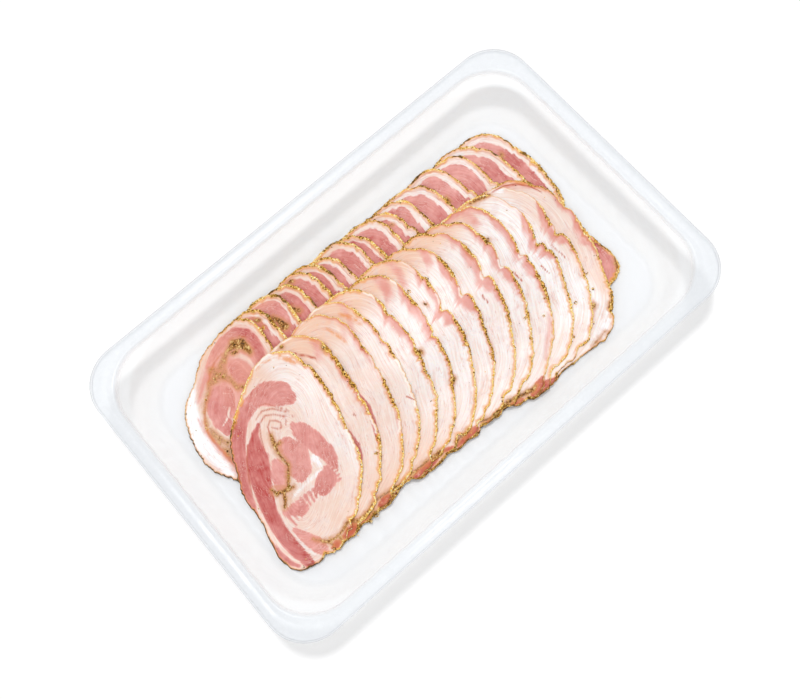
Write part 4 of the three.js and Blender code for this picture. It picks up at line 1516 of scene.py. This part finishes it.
cured_pork = pork.surface(
    Base_Color=pork.mixed(crust, filled_meat, rub_colour),
    Roughness=0.33 + 0.12 * fine + 0.35 * spiced,
    Specular_IOR_Level=0.35,
    Subsurface_Weight=0.12,
    Subsurface_Radius=(1.0, 0.45, 0.3),
    Subsurface_Scale=1.2 * MM,
    Normal=pork.bump(relief, 0.5, 0.6),
)
for laid in slices:
    laid["piece"].data.materials.append(cured_pork)
    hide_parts(laid["name"])
    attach(laid["piece"], "root")
print("cured pork has", len(pork.tree.nodes), "nodes")

# %% [markdown]
# ## Spices along the rims
# The rub is a crumble of garlic and coriander, dried herbs and cracked pepper. It clings to the rim of every
# slice and has fallen a little onto the faces. Geometry Nodes scatter each kind over a guide: the strips of
# rim that nothing covers, and small discs where the camera sees a lump. The guide itself is thrown away
# afterwards, and every grain becomes real mesh.

# %% Lumps of spice that stand out
# Each lump: x and y as the camera sees it, radius, share of herbs
seen_lumps = [
    (-29.6, 20, 0.8, 0.95), (1.7, -26.8, 1.0, 0.8), (-1, -8.6, 1.0, 0.9), (67, -42.6, 0.8, 1.0),
    (54, 9, 0.7, 0.9), (13.4, 14, 0.9, 0.3), (22.6, 13.2, 0.9, 0.4), (21.4, 17.4, 0.8, 0.3),
    (-42, -29, 0.8, 0.6), (31, -6.4, 0.6, 0.3), (42, -27.4, 0.8, 0.6), (62.4, -36.6, 0.9, 0.2),
    (74.6, -30.2, 0.8, 0.4), (72, -37, 0.7, 0.4), (61.6, -47.4, 0.9, 0.2), (-42.8, 31.4, 0.8, 0.9),
    (3.4, -38.8, 0.7, 0.1), (38, -35.4, 0.9, 0.3), (51.4, -46.6, 0.8, 0.1), (14.8, 5.2, 0.5, 1.0),
    (32.6, 17, 0.8, 0.6), (-69, -48.6, 0.9, 0.4), (-61.4, -48.4, 0.9, 0.7), (-58, -47.6, 1.4, 0.6),
    (48.4, -31.8, 0.6, 0.3), (-57.2, 45.8, 0.5, 0.9), (-69.6, 39.6, 0.5, 0.8), (-66, 28.8, 0.9, 0.9),
    (-79.4, 35.6, 0.5, 0.0), (-87.8, 25.4, 0.5, 0.0), (-43.2, 43, 0.8, 0.0), (-28.4, 40.4, 1.0, 0.6),
    (-21.6, 51.2, 0.8, 0.9), (-93.4, -44.4, 0.8, 0.8), (-83, -46.4, 0.8, 0.5), (-79.6, -47, 0.9, 0.7),
    (-45, -44.8, 0.7, 0.9), (-22, -46.4, 0.9, 0.8), (-70.5, 3.4, 0.4, 0.5), (-71.4, 0.6, 0.8, 0.4),
    (-72.2, -4.6, 0.35, 0.7), (-72.4, -8.6, 0.35, 0.6), (-74.8, -12.4, 0.35, 0.7), (-77.4, -15.8, 0.7, 0.6),
    (-80, -16.3, 0.5, 0.5), (-82.8, -14.8, 0.8, 0.3), (-83.4, -12.6, 0.35, 0.6), (-81.8, -18.8, 0.35, 0.6),
    (-83.9, -21, 0.5, 0.5), (-88, 25, 0.7, 0.1), (-80.6, 35, 0.7, 0.1), (-57.2, 46.2, 0.5, 1.0),
    (-54.6, 41, 0.4, 0.8), (-69.4, 38, 0.7, 0.7), (-72.6, 39.4, 0.4, 0.5), (-86.6, 18.6, 0.35, 0.8),
    (-85, 14.8, 0.5, 0.8), (-87.6, 12, 0.4, 0.7), (62, 26.2, 0.6, 0.8), (64.8, 25.4, 0.8, 0.8),
    (67.2, 24.6, 0.7, 0.4), (59.6, 26.8, 0.5, 0.6),
]
lump_sides = 8
lump_share = 4.5
lump_edge, lump_top = 0.1, 0.3
sight_rounds = 6


def lump_patch(x, y, radius):
    """A small disc on top of the heap, where the line of sight through a seen place meets it."""
    z = reading_level
    for _ in range(sight_rounds):
        share = (z - reading_level) / (eye_mm[2] - reading_level)
        at = np.array([x, y]) + share * (eye_mm[:2] - [x, y])
        z = float(sampled(heap, at[:1], at[1:])[0])
    turns = 2 * np.pi * np.arange(lump_sides) / lump_sides
    edge = at + radius * np.column_stack([np.cos(turns), np.sin(turns)])
    return np.vstack([[*at, z + lump_top], np.column_stack([edge, np.full(lump_sides, z + lump_edge)])])


print("lumps of spice:", len(seen_lumps))

# %% The strips of rim that show
guide_reach = 3.0
covered_gap = 0.9
loose_share = 0.004
full_crust = 1.2


def guide_of(laid):
    """Quads of one slice's uncovered rim, and how much crumb and herb each point carries."""
    rounds, rings, points, depths = laid["rounds"], laid["rings"], laid["points"], laid["depths"]
    uncovered = sampled(heap, points[:, 0], points[:, 1]) - points[:, 2] < covered_gap
    at_rim = [j for j in range(rings) if depths[j * rounds : (j + 1) * rounds].min() <= guide_reach]
    quads = [quad for j in at_rim for quad in band_quads(j, rounds) if all(uncovered[c] for c in quad)]
    crust, herbs = laid["rim"]["crust"], np.clip(laid["rim"]["herbs"], 0, 1)
    fullness = np.clip(crust / full_crust, 0, 1.4) * soft_step(crust, 0.15, 0.5)
    cover = fullness * soft_step(depths, crust + 0.4, 0.5 * crust)
    return points, quads, loose_share + cover * (1.1 - herbs), loose_share + cover * (0.1 + herbs)


def guide_of_lump(x, y, radius, herb_part):
    """A lump's disc as a fan of triangles, and how much crumb and herb its points carry."""
    fan = [(0, 1 + k, 1 + (k + 1) % lump_sides) for k in range(lump_sides)]
    amounts = (np.full(lump_sides + 1, lump_share * part) for part in (1 - herb_part, herb_part))
    return lump_patch(x, y, radius), fan, *amounts


def guide_object(name, parts):
    """One mesh of all the parts, which keeps their shares of crumb and herb."""
    starts = np.cumsum([0] + [len(points) for points, _, _, _ in parts])
    faces = [tuple(int(start) + c for c in face) for start, part in zip(starts, parts) for face in part[1]]
    guide = mesh_object(name, np.vstack([part[0] for part in parts]), faces)
    store(guide, "crumb_share", np.concatenate([part[2] for part in parts]))
    store(guide, "herb_share", np.concatenate([part[3] for part in parts]))
    return guide


guide_parts = [guide_of(laid) for laid in slices] + [guide_of_lump(*lump) for lump in seen_lumps]
rim_guide = guide_object("uncovered_rims", guide_parts)
print("uncovered rim faces:", len(rim_guide.data.polygons))

# %% [markdown]
# ## A node tree that scatters grains
# The tree puts points on the guide, more where the guide's own share says so, and in clumps. Each point gets
# a small bead, turned and scaled at random. Once the beads are real mesh, noise pushes their points about,
# so that each grain is a jagged crumb. Its sizes are inputs, and one tree then serves all three spices.

# %% The node tree that scatters one kind of grain
any_turn = {0: (0.0, 0.0, 0.0), 1: (2 * math.pi,) * 3}
clump_scale, jag_scale = 260.0, 2600.0
jag_depth = 0.25 * MM
scatter_sizes = ("Grains per square mm", "Smallest", "Largest", "Length", "Flatness", "Clumping")


def scatter_inputs(tree, graph):
    """The tree's inputs and its output, and a wire from each input."""
    kinds = {"Geometry": "Geometry", "Share": "String", **dict.fromkeys(scatter_sizes, "Float")}
    kinds.update({"Seed": "Int", "Finish": "Material"})
    for key, kind in kinds.items():
        tree.interface.new_socket(key, in_out="INPUT", socket_type="NodeSocket" + kind)
    tree.interface.new_socket("Geometry", in_out="OUTPUT", socket_type="NodeSocketGeometry")
    group_input = tree.nodes.new("NodeGroupInput")
    return {key: Wire(graph, group_input.outputs[key]) for key in kinds}


def scatter_tree():
    tree = bpy.data.node_groups.new("spices_on_rims", "GeometryNodeTree")
    graph = Graph(tree)
    given = scatter_inputs(tree, graph)
    seed, clumping = {"Seed": given["Seed"]}, given["Clumping"]

    share = graph.node("GeometryNodeInputNamedAttribute", {"data_type": "FLOAT"}, {"Name": given["Share"]})
    clumps = graph.noise(graph.node("GeometryNodeInputPosition"), clump_scale, 3.0)
    fullness = (1 - clumping) + clumping * clumps.rise(0.44, 0.6) * 2.0
    density = given["Grains per square mm"] * share * fullness * (1 / MM**2)
    on_guide = {"Mesh": given["Geometry"], "Density": density, **seed}
    points = graph.node("GeometryNodeDistributePointsOnFaces", None, on_guide)

    bead = graph.node("GeometryNodeMeshIcoSphere", None, {"Radius": MM, "Subdivisions": 1})
    span = {2: given["Smallest"], 3: given["Largest"], **seed}
    size = graph.node("FunctionNodeRandomValue", {"data_type": "FLOAT"}, span, 1)
    sides = {0: size * given["Length"], 1: size, 2: size * given["Flatness"]}
    spread = graph.node("ShaderNodeCombineXYZ", None, sides)
    turn = graph.node("FunctionNodeRandomValue", {"data_type": "FLOAT_VECTOR"}, {**any_turn, **seed})
    laid_out = {"Points": points, "Instance": bead, "Rotation": turn, "Scale": spread}
    grains = graph.node("GeometryNodeInstanceOnPoints", None, laid_out)

    real = graph.node("GeometryNodeRealizeInstances", None, {"Geometry": grains})
    jag_place = graph.scaled(graph.node("GeometryNodeInputPosition"), (jag_scale,) * 3)
    jagged = graph.noise(jag_place, 1.0, 1.0, output=1)
    middle_out = {0: jagged, 1: (0.5, 0.5, 0.5)}
    centred = graph.node("ShaderNodeVectorMath", {"operation": "SUBTRACT"}, middle_out)
    pushed = {"Geometry": real, "Offset": graph.scaled(centred, (jag_depth,) * 3)}
    rough = graph.node("GeometryNodeSetPosition", None, pushed)
    done = graph.node("GeometryNodeSetMaterial", None, {"Geometry": rough, "Material": given["Finish"]})
    group_output = tree.nodes.new("NodeGroupOutput")
    tree.links.new(done.socket, group_output.inputs["Geometry"])
    return tree


spice_tree = scatter_tree()
print("scatter tree has", len(spice_tree.nodes), "nodes")

# %% [markdown]
# ## Finishes of the spices
# A grain is about half a millimetre across, so its colour comes from noise of that size: each grain then
# takes a tone of its own. All are dry and dull beside the moist meat.

# %% Spice finishes


def spice_finish(name, stops):
    finish = Finish(name)
    rough = finish.noise(finish.place, 5200.0, 3.0)
    return finish.surface(
        Base_Color=finish.ramp(finish.noise(finish.place, 900.0, 2.0), stops),
        Roughness=0.62 + 0.2 * rough,
        Specular_IOR_Level=0.2,
        Normal=finish.bump(rough, 0.1, 0.6),
    )


crumb_tones = [(0.36, "dc9838"), (0.46, "f0bb56"), (0.54, "f9d98c"), (0.64, "fff3cc")]
flake_tones = [(0.36, "60460e"), (0.48, "98701a"), (0.56, "c69a38"), (0.66, "e6c470")]
pepper_tones = [(0.36, "3a240c"), (0.5, "704a1c"), (0.64, "a87630")]
golden_crumb = spice_finish("golden_crumb", crumb_tones)
dried_herb = spice_finish("dried_herb", flake_tones)
cracked_pepper = spice_finish("cracked_pepper", pepper_tones)
print("spice finishes:", golden_crumb.name, dried_herb.name, cracked_pepper.name)

# %% [markdown]
# ## Scattering the spices
# Golden crumbs are round and lie where the crust has few herbs. Herb flakes are long and flat, and cracked
# pepper is chunky, and both lie where the herbs are. The seeds are fixed, so each run gives the same grains.

# %% Scatter the spices


def scattered(name, guide, **inputs):
    """One kind of grain over the guide, as a piece of plain mesh. An input's name has _ for a space."""
    modifier = guide.modifiers.new("scatter", "NODES")
    modifier.node_group = spice_tree
    named = {key.replace("_", " "): value for key, value in inputs.items()}
    for item in spice_tree.interface.items_tree:
        if item.in_out == "INPUT" and item.name in named:
            modifier[item.identifier] = named[item.name]
    piece = bpy.data.objects.new(name, evaluated_mesh(guide))
    scene.collection.objects.link(piece)
    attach(piece, "root")
    print(name, len(piece.data.polygons), "faces")
    return piece


scattered(
    "golden_crumbs", rim_guide, Share="crumb_share", Grains_per_square_mm=1.5, Smallest=0.08, Largest=0.3,
    Length=1.3, Flatness=0.8, Clumping=0.5, Seed=3, Finish=golden_crumb,
)
scattered(
    "herb_flakes", rim_guide, Share="herb_share", Grains_per_square_mm=1.0, Smallest=0.1, Largest=0.28,
    Length=2.2, Flatness=0.5, Clumping=0.6, Seed=8, Finish=dried_herb,
)
scattered(
    "pepper_grains", rim_guide, Share="herb_share", Grains_per_square_mm=0.6, Smallest=0.1, Largest=0.32,
    Length=1.3, Flatness=0.9, Clumping=0.6, Seed=14, Finish=cracked_pepper,
)
bpy.data.objects.remove(rim_guide)
